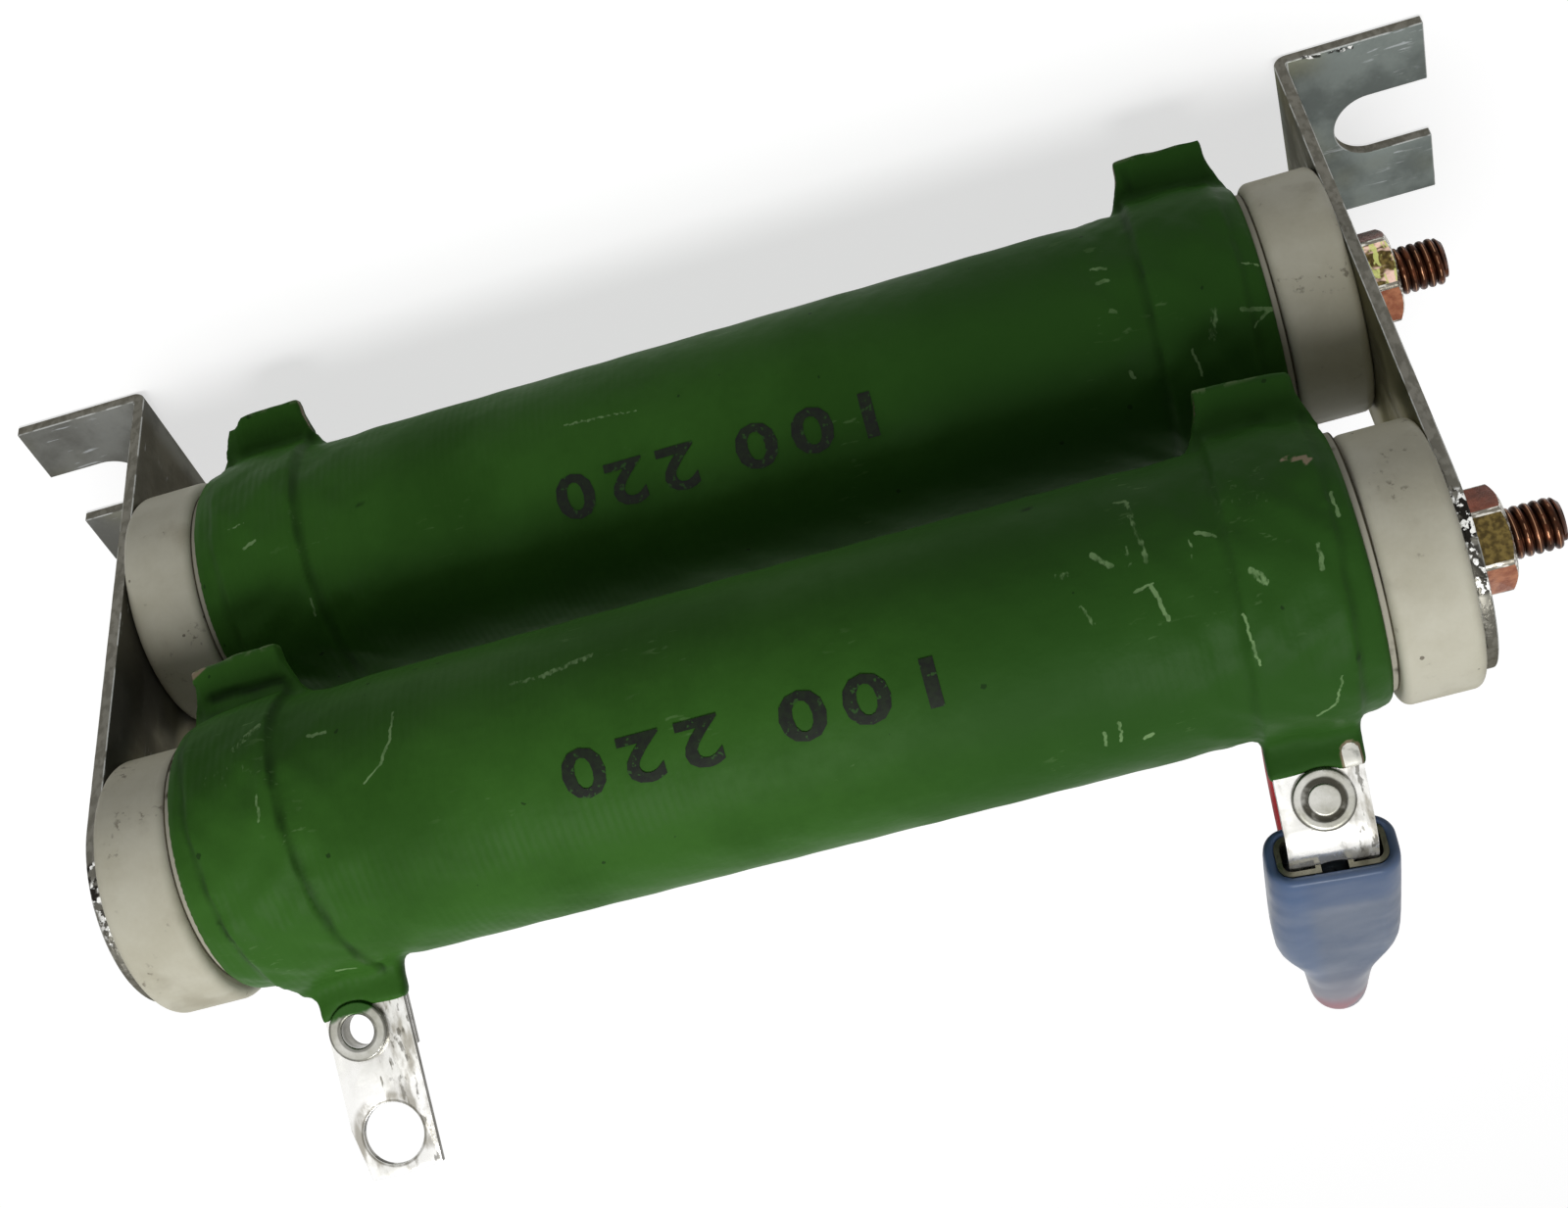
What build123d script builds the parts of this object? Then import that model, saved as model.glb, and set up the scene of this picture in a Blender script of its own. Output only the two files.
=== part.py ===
from build123d import *
import math
import os

# A twin tubular braking resistor: two coated ceramic tubes, one above the other, clamped by two
# long bolts between a pair of footed brackets. Lengths are millimetres and angles are degrees.
# X runs along the tubes and Z is up from the underside of the feet. The origin lies in that
# plane, midway between the brackets. "Left" is the +X end, "right" is the -X end.

# Ceramic tubes
tube_length = 90.0
tube_r = 9.7
tube_bore_r = 6.0
lower_z = 19.0
axis_spacing = 28.65
upper_z = lower_z + axis_spacing
tube_drop = {"upper": 0.85, "lower": -0.25}

# Ceramic end caps
flange_length = 6.0
flange_r = 10.15
flange_edge = 0.8
spigot_length = 5.0
spigot_play = 1.0
cap_hole_play = 0.35

# Brackets, each folded from one sheet
plate = 1.0
bracket_width = 18.0
foot_length = 12.45
fold_r = 0.2
slot_width = 6.2
slot_start = 4.3
bracket_hole_play = 0.25

# Through-bolts and nuts
bolt_r = 1.95
bolt_reach = 7.3
bolt_point = 0.5
head_height = 2.8
nut_height = 3.2
hex_across = 7.0
hex_bevel = 0.45
thread_play = 0.03
nut_turn = {"upper": 142.0, "lower": 152.0}

# Resistance wire, wound as one close layer
wire = 0.3
winding_margin = 5.0

# Terminal strips: a ring round the tube, a pinched ear and a lug of two layers
strip = 0.6
strip_width = 6.7
strip_bend = 0.4
fold_gap = 0.1
ring_play = 0.03
lug_rise = 52.0
lug_width = 6.6
lug_root = 11.6
lug_reach = 27.1
short_layer_reach = 18.0
lug_hole_r = 2.4
lug_hole_reach = 23.9
lug_corner_length = 4.0
lug_corner_depth = 0.8
ear_reach = 15.0

# How far in from the tube's end each strip sits, how far it leans over, how far its lug leans back
strip_inset = {
    ("upper", "left"): 6.3,
    ("upper", "right"): 6.05,
    ("lower", "left"): 6.3,
    ("lower", "right"): 5.9,
}
strip_lean = {
    ("upper", "left"): 5.0,
    ("upper", "right"): -3.7,
    ("lower", "left"): 2.5,
    ("lower", "right"): -2.0,
}
lug_lean = {
    ("upper", "left"): 5.6,
    ("upper", "right"): 0.0,
    ("lower", "left"): 3.0,
    ("lower", "right"): 0.0,
}
ear_cut = {("lower", "left"): 1.6}

# Eyelets on the left and rivets on the right, through both layers of each lug
eyelet_reach = {"left": 15.6, "right": 16.1}
barrel_r = 1.7
barrel_play = 0.03
eyelet_bore_r = 1.3
eyelet_flange_r = 2.35
eyelet_rise = 0.45
rivet_core_r = 1.2
rivet_core_rise = 0.3
rivet_groove_r = 1.65
rivet_groove_depth = 0.35

# Bent right lugs, whose tabs run back nearly level
tab_corner = 19.25
tab_bend = 2.0
tab_dip = 2.0

# Push-on terminals
terminal_mouth = 2.4
terminal_grip = 8.0
terminal_width = 8.2
terminal_height = 3.5
terminal_corner = 1.1
terminal_sheet = 0.4
terminal_gap = 2.0
tab_lift = 0.75
terminal_yaw = 1.0
tab_play = 0.05
ridge_width = 2.4
waist_length = 2.0
crimp_length = 6.5
crimp_r = 1.6

# Insulating boots
boot_wall = 0.8
boot_play = 0.05
boot_straight = 12.0
boot_shoulder = 4.0
boot_neck = 6.1
boot_waist_r = 2.9
boot_neck_r = 2.28

# Jumper lead
lead_r = 1.1
lead_play = 0.02
lead_start = 15.5
lead_exit = 24.5
lead_bow = [
    (-36.4, 45.8, 54.3),
    (-36.7, 48.9, 45.2),
    (-37.0, 46.6, 37.0),
]

# Green coating
coat_margin = 0.75
coat_r = 10.9
coat_lip_r = 10.27
coat_shoulder = 1.2
pad_cover = 0.5
pad_margin = 0.7
pad_flank = 1.2
skin = 0.3
collar_reach = 14.4
coat_fillet = 1.0
skin_edge = 0.5

# How near a circle a corner lies to count as being on it
on_circle = 1e-4

# Places that follow from the sizes
sides = {"left": 1, "right": -1}
tube_end = tube_length / 2
plate_x = tube_end + flange_length
outer_x = plate_x + plate
layer_top = fold_gap / 2 + strip
tier_z = {"upper": upper_z, "lower": lower_z}
along_x = Plane(origin=(0, 0, 0), x_dir=(0, 1, 0), z_dir=(1, 0, 0))


def area(u0, u1, v0, v1):
    """A rectangle between two corners."""
    return Pos((u0 + u1) / 2, (v0 + v1) / 2) * Rectangle(u1 - u0, v1 - v0)


def at_radius(shape, radius):
    """The corners of a section that lie on a circle about its centre."""
    return [v for v in shape.vertices() if abs(math.hypot(v.X, v.Y) - radius) < on_circle]


def ring_along_x(outer_r, inner_r, x0, x1):
    """A plain sleeve about the X axis."""
    sleeve = extrude(Circle(outer_r) - Circle(inner_r), x1 - x0)
    return Pos(x0, 0, 0) * along_x.location * sleeve


def ceramic_tube():
    return ring_along_x(tube_r, tube_bore_r, -tube_end, tube_end)


def winding():
    return ring_along_x(tube_r + wire, tube_r, winding_margin - tube_end, tube_end - winding_margin)


def end_cap(side):
    """A flanged ceramic bush whose spigot centres the tube on the bolt."""
    section = area(tube_end, plate_x, 0, flange_r)
    section = fillet(section.vertices().group_by(Axis.Y)[-1], flange_edge)
    section += area(tube_end - spigot_length, tube_end, 0, tube_bore_r - spigot_play)
    section -= area(tube_end - spigot_length, plate_x, 0, bolt_r + cap_hole_play)
    cap = revolve(Plane.XZ * section, Axis.X)
    return cap if side == "left" else mirror(cap, Plane.YZ)


def bracket(side):
    """A sheet folded once: a plate with a full round top, and a foot with a slot open at its end."""
    foot_x = plate_x + foot_length
    top_z = upper_z + bracket_width / 2
    underside = FilletPolyline((foot_x, 0), (plate_x, 0), (plate_x, top_z), radius=fold_r + plate)
    section = make_face(offset(underside, amount=plate, side=Side.RIGHT, closed=True))
    sheet = extrude(Plane.XZ * section, bracket_width / 2, both=True)
    outline = area(-bracket_width / 2, bracket_width / 2, 0, upper_z)
    outline += Pos(0, upper_z) * Circle(bracket_width / 2)
    for z in tier_z.values():
        outline -= Pos(0, z) * Circle(bolt_r + bracket_hole_play)
    sheet &= extrude(along_x * outline, foot_x)
    slot_x = plate_x + slot_start + slot_width / 2
    slot = Pos(slot_x, 0) * Circle(slot_width / 2)
    slot += area(slot_x, foot_x, -slot_width / 2, slot_width / 2)
    sheet -= extrude(slot, plate)
    return sheet if side == "left" else mirror(sheet, Plane.YZ)


def hexagon(height, bevelled_ends):
    """A hexagon block along Z from zero, its corners turned off at the named ends."""
    blank = extrude(RegularPolygon(hex_across / 2, 6, major_radius=False), height)
    corner_r = hex_across / 2 / math.cos(math.radians(30))
    turned = Pos(0, 0, height / 2) * Cylinder(corner_r, height)
    rims = turned.edges().filter_by(GeomType.CIRCLE).sort_by(Axis.Z)
    chosen = [rims[0], rims[-1]] if bevelled_ends == "both" else [rims[-1]]
    return blank & chamfer(chosen, hex_bevel, hex_bevel * 1.7)


def through_bolt():
    """A long bolt along X with its hexagon head outside the left plate."""
    length = 2 * outer_x + bolt_reach
    shank = Cylinder(bolt_r, length)
    shank = chamfer(shank.edges().sort_by(Axis.Z)[0], bolt_point)
    shank = Pos(0, 0, -length / 2) * shank
    return Pos(outer_x, 0, 0) * along_x.location * (shank + hexagon(head_height, "far"))


def nut(tier):
    """A plain nut against the right plate."""
    block = hexagon(nut_height, "both") - Cylinder(bolt_r + thread_play, 3 * nut_height)
    seat = Plane(origin=(-outer_x, 0, 0), x_dir=(0, 1, 0), z_dir=(-1, 0, 0))
    return seat.location * Rot(0, 0, -nut_turn[tier] + 30) * block


def tube_place(tier):
    """A tube lies a little off the bolt's axis, away from its lugs, by the play on its spigots."""
    rise = math.radians(lug_rise)
    drop = tube_drop[tier]
    return Pos(0, -drop * math.cos(rise), -drop * math.sin(rise))


def strip_place(tier, side):
    """Local frame of a strip: X along its lug, Y out of the lug's front face, Z across the strip."""
    x = sides[side] * (tube_end - strip_inset[tier, side])
    rise = math.radians(lug_rise)
    plane = Plane(origin=(x, 0, 0), x_dir=(0, math.cos(rise), math.sin(rise)), z_dir=(1, 0, 0))
    return plane.location * Rot(0, strip_lean[tier, side], 0)


def tab_place():
    """Local frame of a bent tab: X along it, Y up, from the corner of its middle plane."""
    corner = (tab_corner, layer_top - strip / 2, 0)
    turn = math.radians(lug_rise + tab_dip)
    return Plane(origin=corner, x_dir=(math.cos(turn), -math.sin(turn), 0), z_dir=(0, 0, 1)).location


def ring_radius():
    """The ring that leans most just clears the wire that it lies on."""
    lean = math.radians(max(abs(angle) for angle in strip_lean.values()))
    return (tube_r + wire + ring_play) / math.cos(lean) + strip_width / 2 * math.tan(lean)


def front_layer(side):
    """Section of the lug's long layer, straight on the left and bent level on the right."""
    if side == "left":
        return area(0, lug_reach, fold_gap / 2, layer_top)
    turn = math.radians(lug_rise + tab_dip)
    tab = lug_reach - tab_corner
    back = Vector(tab_corner, fold_gap / 2) - strip / 2 * math.tan(turn / 2) * Vector(1, 0)
    end = back + tab * Vector(math.cos(turn), -math.sin(turn))
    face = FilletPolyline((0, back.Y), (back.X, back.Y), (end.X, end.Y), radius=tab_bend)
    return make_face(offset(face, amount=strip, side=Side.LEFT, closed=True))


def strip_section(side):
    """One strip seen along the tube: both layers leave the ring, and the ear is a pinched fold."""
    ring_r = ring_radius()
    section = Circle(ring_r + strip) + front_layer(side)
    section += area(0, short_layer_reach, -layer_top, fold_gap / 2)
    section += area(-ear_reach, 0, -layer_top, layer_top)
    section = fillet(at_radius(section, ring_r + strip), strip_bend)
    tip = section.vertices().group_by(Axis.X)[0]
    section = fillet(tip, layer_top * 0.9)
    section -= Circle(ring_r)
    section -= area(-(ear_reach - strip), short_layer_reach, -fold_gap / 2, fold_gap / 2)
    return fillet(at_radius(section, ring_r), strip_bend + strip)


def strip_outline(tier, side):
    """Plan of a strip: the ring and ear run straight, and the lug leans about its end hole."""
    outline = area(-ear_reach, lug_root, -strip_width / 2, strip_width / 2)
    start = ring_radius() + strip
    lug = area(start - lug_hole_reach, lug_reach - lug_hole_reach, -lug_width / 2, lug_width / 2)
    if side == "left":
        end = lug_reach - lug_hole_reach
        edge = lug_width / 2
        start = (end - lug_corner_length, edge)
        lug -= make_face(Polyline(start, (end, edge), (end, edge - lug_corner_depth), start))
    outline += Pos(lug_hole_reach, 0) * Rot(0, 0, lug_lean[tier, side]) * lug
    cut = ear_cut.get((tier, side), 0)
    if cut:
        edge = strip_width / 2
        tip = (-ear_reach, edge)
        outline -= make_face(Polyline(tip, (-ear_reach, edge - cut), (-tube_r, edge), tip))
    return outline


def cut_to_outline(section, outline):
    """Extrude a section across the strip and keep what lies inside the plan."""
    return extrude(section, lug_width, both=True) & extrude(Plane.XZ * outline, lug_reach, both=True)


def terminal_strip(tier, side):
    solid = cut_to_outline(strip_section(side), strip_outline(tier, side))
    barrel = Rot(90, 0, 0) * Cylinder(barrel_r + barrel_play, 4 * strip)
    solid -= Pos(eyelet_reach[side], 0, 0) * barrel
    end_place = Location() if side == "left" else tab_place() * Pos(-tab_corner, 0, 0)
    solid -= end_place * Pos(lug_hole_reach, 0, 0) * Rot(90, 0, 0) * Cylinder(lug_hole_r, 4 * strip)
    return strip_place(tier, side) * solid


def eyelet():
    """A hollow rivet, rolled over on both faces of the lug."""
    section = area(eyelet_bore_r, barrel_r, -layer_top - eyelet_rise, layer_top + eyelet_rise)
    for edge in (-1, 1):
        inner = edge * layer_top
        outer = edge * (layer_top + eyelet_rise)
        flange = area(eyelet_bore_r, eyelet_flange_r, min(inner, outer), max(inner, outer))
        section += flange
    rims = [v for v in section.vertices() if abs(v.Y) > layer_top + eyelet_rise / 2]
    return fillet(rims, eyelet_rise * 0.45)


def rivet():
    """A solid rivet whose core stands up inside a pressed ring."""
    section = area(0, barrel_r, -layer_top, layer_top)
    for edge in (-1, 1):
        inner = edge * layer_top
        outer = edge * (layer_top + eyelet_rise)
        flange = area(0, eyelet_flange_r, min(inner, outer), max(inner, outer))
        section += flange
    top = layer_top + eyelet_rise
    rims = [v for v in section.vertices() if v.X > barrel_r and abs(v.Y) > layer_top + eyelet_rise / 2]
    section = fillet(rims, eyelet_rise * 0.8)
    section -= area(rivet_core_r, rivet_groove_r, top - rivet_groove_depth, top)
    core = area(0, rivet_core_r, layer_top, top + rivet_core_rise)
    return section + fillet(core.vertices().group_by(Axis.Y)[-1].group_by(Axis.X)[-1], rivet_core_rise * 0.6)


def fastener(tier, side):
    section = eyelet() if side == "left" else rivet()
    return strip_place(tier, side) * Pos(eyelet_reach[side], 0, 0) * revolve(section, Axis.Y)


def push_on_terminal(tier):
    """A flat base with two rolled sides over the tab, a waist and a closed crimp round the lead."""
    half_width = terminal_width / 2
    half_height = terminal_height / 2
    section = RectangleRounded(terminal_width, terminal_height, terminal_corner)
    section -= RectangleRounded(terminal_width - 2 * terminal_sheet, terminal_height - 2 * terminal_sheet,
                                terminal_corner - terminal_sheet)
    section -= area(-terminal_gap / 2, terminal_gap / 2, 0, terminal_height)
    tab_top = tab_lift + strip / 2 + tab_play
    tab_back = tab_lift - strip / 2 - tab_play
    for turn in (-1, 1):
        lip = Pos(turn * (terminal_gap + terminal_sheet) / 2, (half_height + tab_top) / 2)
        section += lip * Rectangle(terminal_sheet, half_height - tab_top)
    section += area(-ridge_width / 2, ridge_width / 2, -half_height, tab_back)
    solid = extrude(terminal_plane(terminal_mouth) * section, terminal_grip)
    waist_x = terminal_mouth + terminal_grip
    crimp_x = waist_x + waist_length
    crimp_end = crimp_x + crimp_length
    foot = half_width - terminal_corner
    waist = Polyline((waist_x, foot), (crimp_x, crimp_r), (crimp_end, crimp_r / 2), (crimp_end, -crimp_r / 2),
                     (crimp_x, -crimp_r), (waist_x, -foot), (waist_x, foot))
    floor = Plane(origin=(0, -tab_lift - half_height, 0), x_dir=(1, 0, 0), z_dir=(0, 1, 0))
    solid += extrude(floor * make_face(waist), terminal_sheet)
    crimp = Circle(crimp_r) + area(-crimp_r / 2, crimp_r / 2, -half_height, 0) - Circle(lead_r + lead_play)
    solid += extrude(terminal_plane(crimp_x) * crimp, crimp_length)
    return terminal_place(tier) * solid


def terminal_place(tier):
    """Local frame of a terminal: the tab's, turned a little about the tab's corner."""
    return strip_place(tier, "right") * tab_place() * Rot(0, -terminal_yaw, 0)


def terminal_plane(x):
    """A plane across the terminal's axis, with Y up through its height."""
    return Plane(origin=(x, -tab_lift, 0), x_dir=(0, 0, -1), z_dir=(1, 0, 0))


def boot_skin(inset):
    """The boot's outer form, or its hollow when inset by the wall."""
    grow = boot_play + boot_wall - inset
    wide = (terminal_width / 2 + grow, terminal_height / 2 + grow, terminal_corner + grow)
    waist = (boot_waist_r - inset, wide[1], wide[1] * 0.8)
    neck = (boot_neck_r - inset, boot_neck_r - inset, (boot_neck_r - inset) * 0.98)
    shoulder = terminal_mouth + boot_straight
    places = [terminal_mouth, shoulder, shoulder + boot_shoulder, shoulder + boot_shoulder + boot_neck]
    rings = []
    for x, (half_width, half_height, corner) in zip(places, [wide, wide, waist, neck]):
        rings.append(terminal_plane(x) * RectangleRounded(2 * half_width, 2 * half_height, corner))
    return loft(rings[:2], ruled=True) + loft(rings[1:], ruled=True)


def boot(tier):
    """A soft sleeve, flat over the terminal and drawn in to a round neck over the lead."""
    return terminal_place(tier) * (boot_skin(0) - boot_skin(boot_wall))


def lead_route():
    """The lead leaves the upper crimp, hangs in a bow behind the tubes and enters the lower crimp."""
    ends = {}
    for tier, z in tier_z.items():
        axis = Pos(0, 0, z) * tube_place(tier) * terminal_place(tier)
        reaches = (terminal_mouth + lead_start, terminal_mouth + lead_exit)
        ends[tier] = [(axis * Pos(x, -tab_lift, 0)).position for x in reaches]
    return [*ends["upper"], *[Vector(*p) for p in lead_bow], *ends["lower"][::-1]]


def jumper_lead():
    """A round lead: straight runs joined by tangent arcs as large as the runs allow."""
    points = lead_route()
    runs = [b - a for a, b in zip(points, points[1:])]
    radii = []
    for before, after in zip(runs, runs[1:]):
        half_turn = math.radians(before.get_angle(after)) / 2
        radii.append(0.45 * min(before.length, after.length) / math.tan(half_turn))
    route = FilletPolyline(*points, radius=radii)
    solid = sweep(Plane(origin=route @ 0, z_dir=route % 0) * Circle(lead_r), path=route)
    print("lead length", round(route.length, 2), "radii", [round(r, 1) for r in radii])
    print("lead volume", round(solid.volume, 2), "of", round(math.pi * lead_r ** 2 * route.length, 2))
    return solid


def coat_wrap(tier, side):
    """The coat over a strip: a low pad round the ring, a skin on the ear and a collar on the lug."""
    pad_r = ring_radius() + strip + pad_cover
    half = layer_top + skin
    section = Circle(pad_r) + area(-ear_reach - skin, 0, -half, half)
    section += area(0, collar_reach, -half, half)
    section = fillet(at_radius(section, pad_r), coat_fillet)
    tips = section.vertices().group_by(Axis.X)
    section = fillet([*tips[0], *tips[-1]], skin_edge)
    wrap = cut_to_outline(section, offset(strip_outline(tier, side), skin))
    top = strip_width / 2
    foot = top + pad_margin
    flank_r = pad_r - pad_flank
    pad = [(0, -foot), (flank_r, -foot), (pad_r, -top), (pad_r, top), (flank_r, foot), (0, foot)]
    wrap += revolve(Plane.XZ * make_face(Polyline(*pad, close=True)), Axis.Z)
    return strip_place(tier, side) * wrap


def coating(tier):
    """One skin of cement over the wire and the strips, with short bare rims at the tube's ends."""
    half = tube_end - coat_margin
    flat = half - coat_shoulder
    top = Line((-flat, coat_r), (flat, coat_r))
    right_end = TangentArc((flat, coat_r), (half, coat_lip_r), tangent=(1, 0))
    left_end = TangentArc((-flat, coat_r), (-half, coat_lip_r), tangent=(-1, 0))
    base = Polyline((half, coat_lip_r), (half, 0), (-half, 0), (-half, coat_lip_r))
    body = revolve(Plane.XZ * make_face([top, right_end, base, left_end]), Axis.X)
    for side in sides:
        body += coat_wrap(tier, side)
    body -= along_x.location * Cylinder(tube_r, tube_length)
    body -= winding()
    for side in sides:
        body -= terminal_strip(tier, side)
        seat = strip_place(tier, side) * Pos(eyelet_reach[side], 0, 0)
        body -= seat * Rot(90, 0, 0) * Cylinder(eyelet_flange_r, 2 * (layer_top + eyelet_rise))
    return body


nodes = {"left_bracket": bracket("left"), "right_bracket": bracket("right"), "jumper_lead": jumper_lead()}
for tier, z in tier_z.items():
    clamped = {"through_bolt": through_bolt(), "nut": nut(tier)}
    loose = {
        "ceramic_tube": ceramic_tube(),
        "winding": winding(),
        "coating": coating(tier),
        "push_on_terminal": push_on_terminal(tier),
        "boot": boot(tier),
        "left_eyelet": fastener(tier, "left"),
        "right_rivet": fastener(tier, "right"),
    }
    for side in sides:
        clamped[side + "_end_cap"] = end_cap(side)
        loose[side + "_terminal_strip"] = terminal_strip(tier, side)
    for name, shape in clamped.items():
        nodes[tier + "_" + name] = Pos(0, 0, z) * shape
    for name, shape in loose.items():
        nodes[tier + "_" + name] = Pos(0, 0, z) * tube_place(tier) * shape

os.makedirs("parts", exist_ok=True)
for name, shape in nodes.items():
    export_step(shape, "parts/" + name + ".step")
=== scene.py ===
import math

import bmesh
import bpy
import numpy as np
from mathutils import Matrix, Vector
from mathutils.bvhtree import BVHTree


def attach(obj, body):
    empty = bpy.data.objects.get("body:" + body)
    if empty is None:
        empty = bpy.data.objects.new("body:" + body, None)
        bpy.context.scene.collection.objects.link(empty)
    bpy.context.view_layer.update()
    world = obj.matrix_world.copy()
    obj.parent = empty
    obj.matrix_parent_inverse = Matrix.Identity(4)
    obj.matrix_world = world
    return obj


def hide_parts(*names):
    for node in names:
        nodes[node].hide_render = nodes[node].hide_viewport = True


# Looks for the twin tubular braking resistor. Sizes named here are the part's own, in millimetres.
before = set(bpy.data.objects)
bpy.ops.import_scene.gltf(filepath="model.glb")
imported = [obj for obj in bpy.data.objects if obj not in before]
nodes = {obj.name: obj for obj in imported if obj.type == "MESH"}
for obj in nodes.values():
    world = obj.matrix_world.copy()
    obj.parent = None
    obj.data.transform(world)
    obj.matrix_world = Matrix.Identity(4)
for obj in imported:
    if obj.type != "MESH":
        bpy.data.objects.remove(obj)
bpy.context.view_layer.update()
scene = bpy.context.scene

MM = 0.001
TIERS = ("upper", "lower")
SIDES = ("left", "right")

# Sizes repeated from the part
TUBE_END = 45.0
TUBE_AXIS = {"upper": (-0.523, 46.98), "lower": (0.154, 19.197)}
BOLT_Z = {"upper": 47.65, "lower": 19.0}
COAT_R = 10.9
STRIP_INSET = {"upper": {"left": 6.3, "right": 6.05}, "lower": {"left": 6.3, "right": 5.9}}
STRIP_LEAN = {"upper": {"left": 5.0, "right": -3.7}, "lower": {"left": 2.5, "right": -2.0}}
LUG_RISE = 52.0
COLLAR_REACH = 14.4
EAR_REACH = 15.0
STRIP_WIDTH = 6.7
NUT_TURN = {"upper": 142.0, "lower": 152.0}
EYELET_REACH = {"left": 15.6, "right": 16.1}
EYELET_TOP = 1.1
LUG_HOLE_REACH = 23.9
LUG_HOLE_LIP_R = 2.5
SHEET = {"bracket": 1.0, "strip": 0.6}
TAB_CORNER = 19.25
TAB_DIP = 2.0
TAB_LIFT = 0.75
STRIP_MIDDLE = 0.35
TERMINAL_YAW = 1.0
MOUTH = 2.4
PLATE_INNER_X = 51.0
PLATE_OUTER_X = 52.0
BOLT_R = 1.95
BOLT_REACH = 7.3
BOLT_POINT = 0.5


# Camera, solved from the photograph

CAMERA_LENS = 52.03
CAMERA_PLACE = Vector((-27.14, -133.82, 151.58))
CAMERA_RIGHT = Vector((-0.95621, 0.27206, 0.10795))
CAMERA_DOWN = Vector((0.25688, 0.60327, 0.75504))
CAMERA_FORWARD = Vector((0.14030, 0.74970, -0.64674))


def add_camera():
    data = bpy.data.cameras.new("camera")
    data.sensor_width = 36.0
    data.lens = CAMERA_LENS
    data.clip_start = 0.01
    data.clip_end = 20.0
    camera = bpy.data.objects.new("camera", data)
    turn = Matrix((CAMERA_RIGHT, -CAMERA_DOWN, -CAMERA_FORWARD)).transposed().to_4x4()
    camera.matrix_world = Matrix.Translation(CAMERA_PLACE * MM) @ turn
    scene.collection.objects.link(camera)
    scene.camera = camera


# Mesh helpers

MERGE_GAP = 2e-6

# Angles between faces, in degrees, from which the shading is creased
METAL_CREASE = 35.0
NUT_CREASE = 25.0
SOFT_CREASE = 60.0


def link_mesh(name, mesh):
    piece = bpy.data.objects.new(name, mesh)
    scene.collection.objects.link(piece)
    return piece


def add_piece(name, mesh, node):
    """A finished piece that stands in for a CAD node."""
    piece = link_mesh(name, mesh)
    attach(piece, "root")
    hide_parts(node)
    return piece


def settled_mesh(piece, name):
    """The evaluated shape of an object as a plain mesh; the object itself is removed."""
    bpy.context.view_layer.update()
    graph = bpy.context.evaluated_depsgraph_get()
    mesh = bpy.data.meshes.new_from_object(piece.evaluated_get(graph))
    bpy.data.objects.remove(piece)
    mesh.name = name
    return mesh


def new_mesh(work, name, material):
    """A plain mesh from a working mesh, in one material."""
    mesh = bpy.data.meshes.new(name)
    work.to_mesh(mesh)
    work.free()
    mesh.materials.clear()
    mesh.materials.append(material)
    mesh.polygons.foreach_set("material_index", [0] * len(mesh.polygons))
    return mesh


def shade_smooth(mesh, angle):
    """Smooth faces with a crease wherever two faces meet at more than the angle."""
    mesh.shade_smooth()
    mesh.set_sharp_from_angle(angle=math.radians(angle))


def merged_copy(node):
    """A CAD node's mesh with its loose triangles joined."""
    work = bmesh.new()
    work.from_mesh(nodes[node].data)
    bmesh.ops.remove_doubles(work, verts=work.verts, dist=MERGE_GAP)
    return work


def cut_away(work, point, direction):
    """Removes what lies beyond a plane, and closes the cut."""
    everything = [*work.verts, *work.edges, *work.faces]
    cut = bmesh.ops.bisect_plane(work, geom=everything, plane_co=point, plane_no=direction, clear_outer=True)
    rim = [item for item in cut["geom_cut"] if isinstance(item, bmesh.types.BMEdge)]
    bmesh.ops.holes_fill(work, edges=rim)


def mesh_array(mesh, key):
    values = np.empty(3 * len(mesh.vertices))
    mesh.vertices.foreach_get(key, values)
    return values.reshape(-1, 3)


def note(mesh, name, values, domain="POINT"):
    """Keeps a value for each point or face, for a material to read."""
    layer = mesh.attributes.new(name, "FLOAT", domain)
    layer.data.foreach_set("value", values)


# Local frames

def strip_frame(tier, side):
    """Local frame of a strip: X along its lug, Y out of the lug's front face, Z across the strip."""
    y, z = TUBE_AXIS[tier]
    x = TUBE_END - STRIP_INSET[tier][side]
    rise = math.radians(LUG_RISE)
    axes = Matrix(((0, math.cos(rise), math.sin(rise)), (0, -math.sin(rise), math.cos(rise)), (1, 0, 0)))
    place = Matrix.Translation((x if side == "left" else -x, y, z)) @ axes.transposed().to_4x4()
    return place @ Matrix.Rotation(math.radians(STRIP_LEAN[tier][side]), 4, "Y")


def terminal_frame(tier):
    """Local frame of a push-on terminal: X along it away from the tube, Y up through its height."""
    turn = math.radians(LUG_RISE + TAB_DIP)
    axes = Matrix(((math.cos(turn), -math.sin(turn), 0), (math.sin(turn), math.cos(turn), 0), (0, 0, 1)))
    corner = Matrix.Translation((TAB_CORNER, STRIP_MIDDLE, 0)) @ axes.transposed().to_4x4()
    yaw = Matrix.Rotation(math.radians(-TERMINAL_YAW), 4, "Y")
    return strip_frame(tier, "right") @ corner @ yaw @ Matrix.Translation((0, -TAB_LIFT, 0))


def in_metres(place):
    return Matrix.Scale(MM, 4) @ place


# Jumper lead

LEAD_R = 1.1
LEAD_ROUTE = [
    (-36.756, 28.863, 60.927),
    (-36.258, 37.843, 60.596),
    (-36.4, 45.8, 54.3),
    (-36.7, 48.9, 45.2),
    (-37.0, 46.6, 37.0),
    (-37.428, 38.56, 32.864),
    (-37.77, 29.572, 33.185),
]


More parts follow.
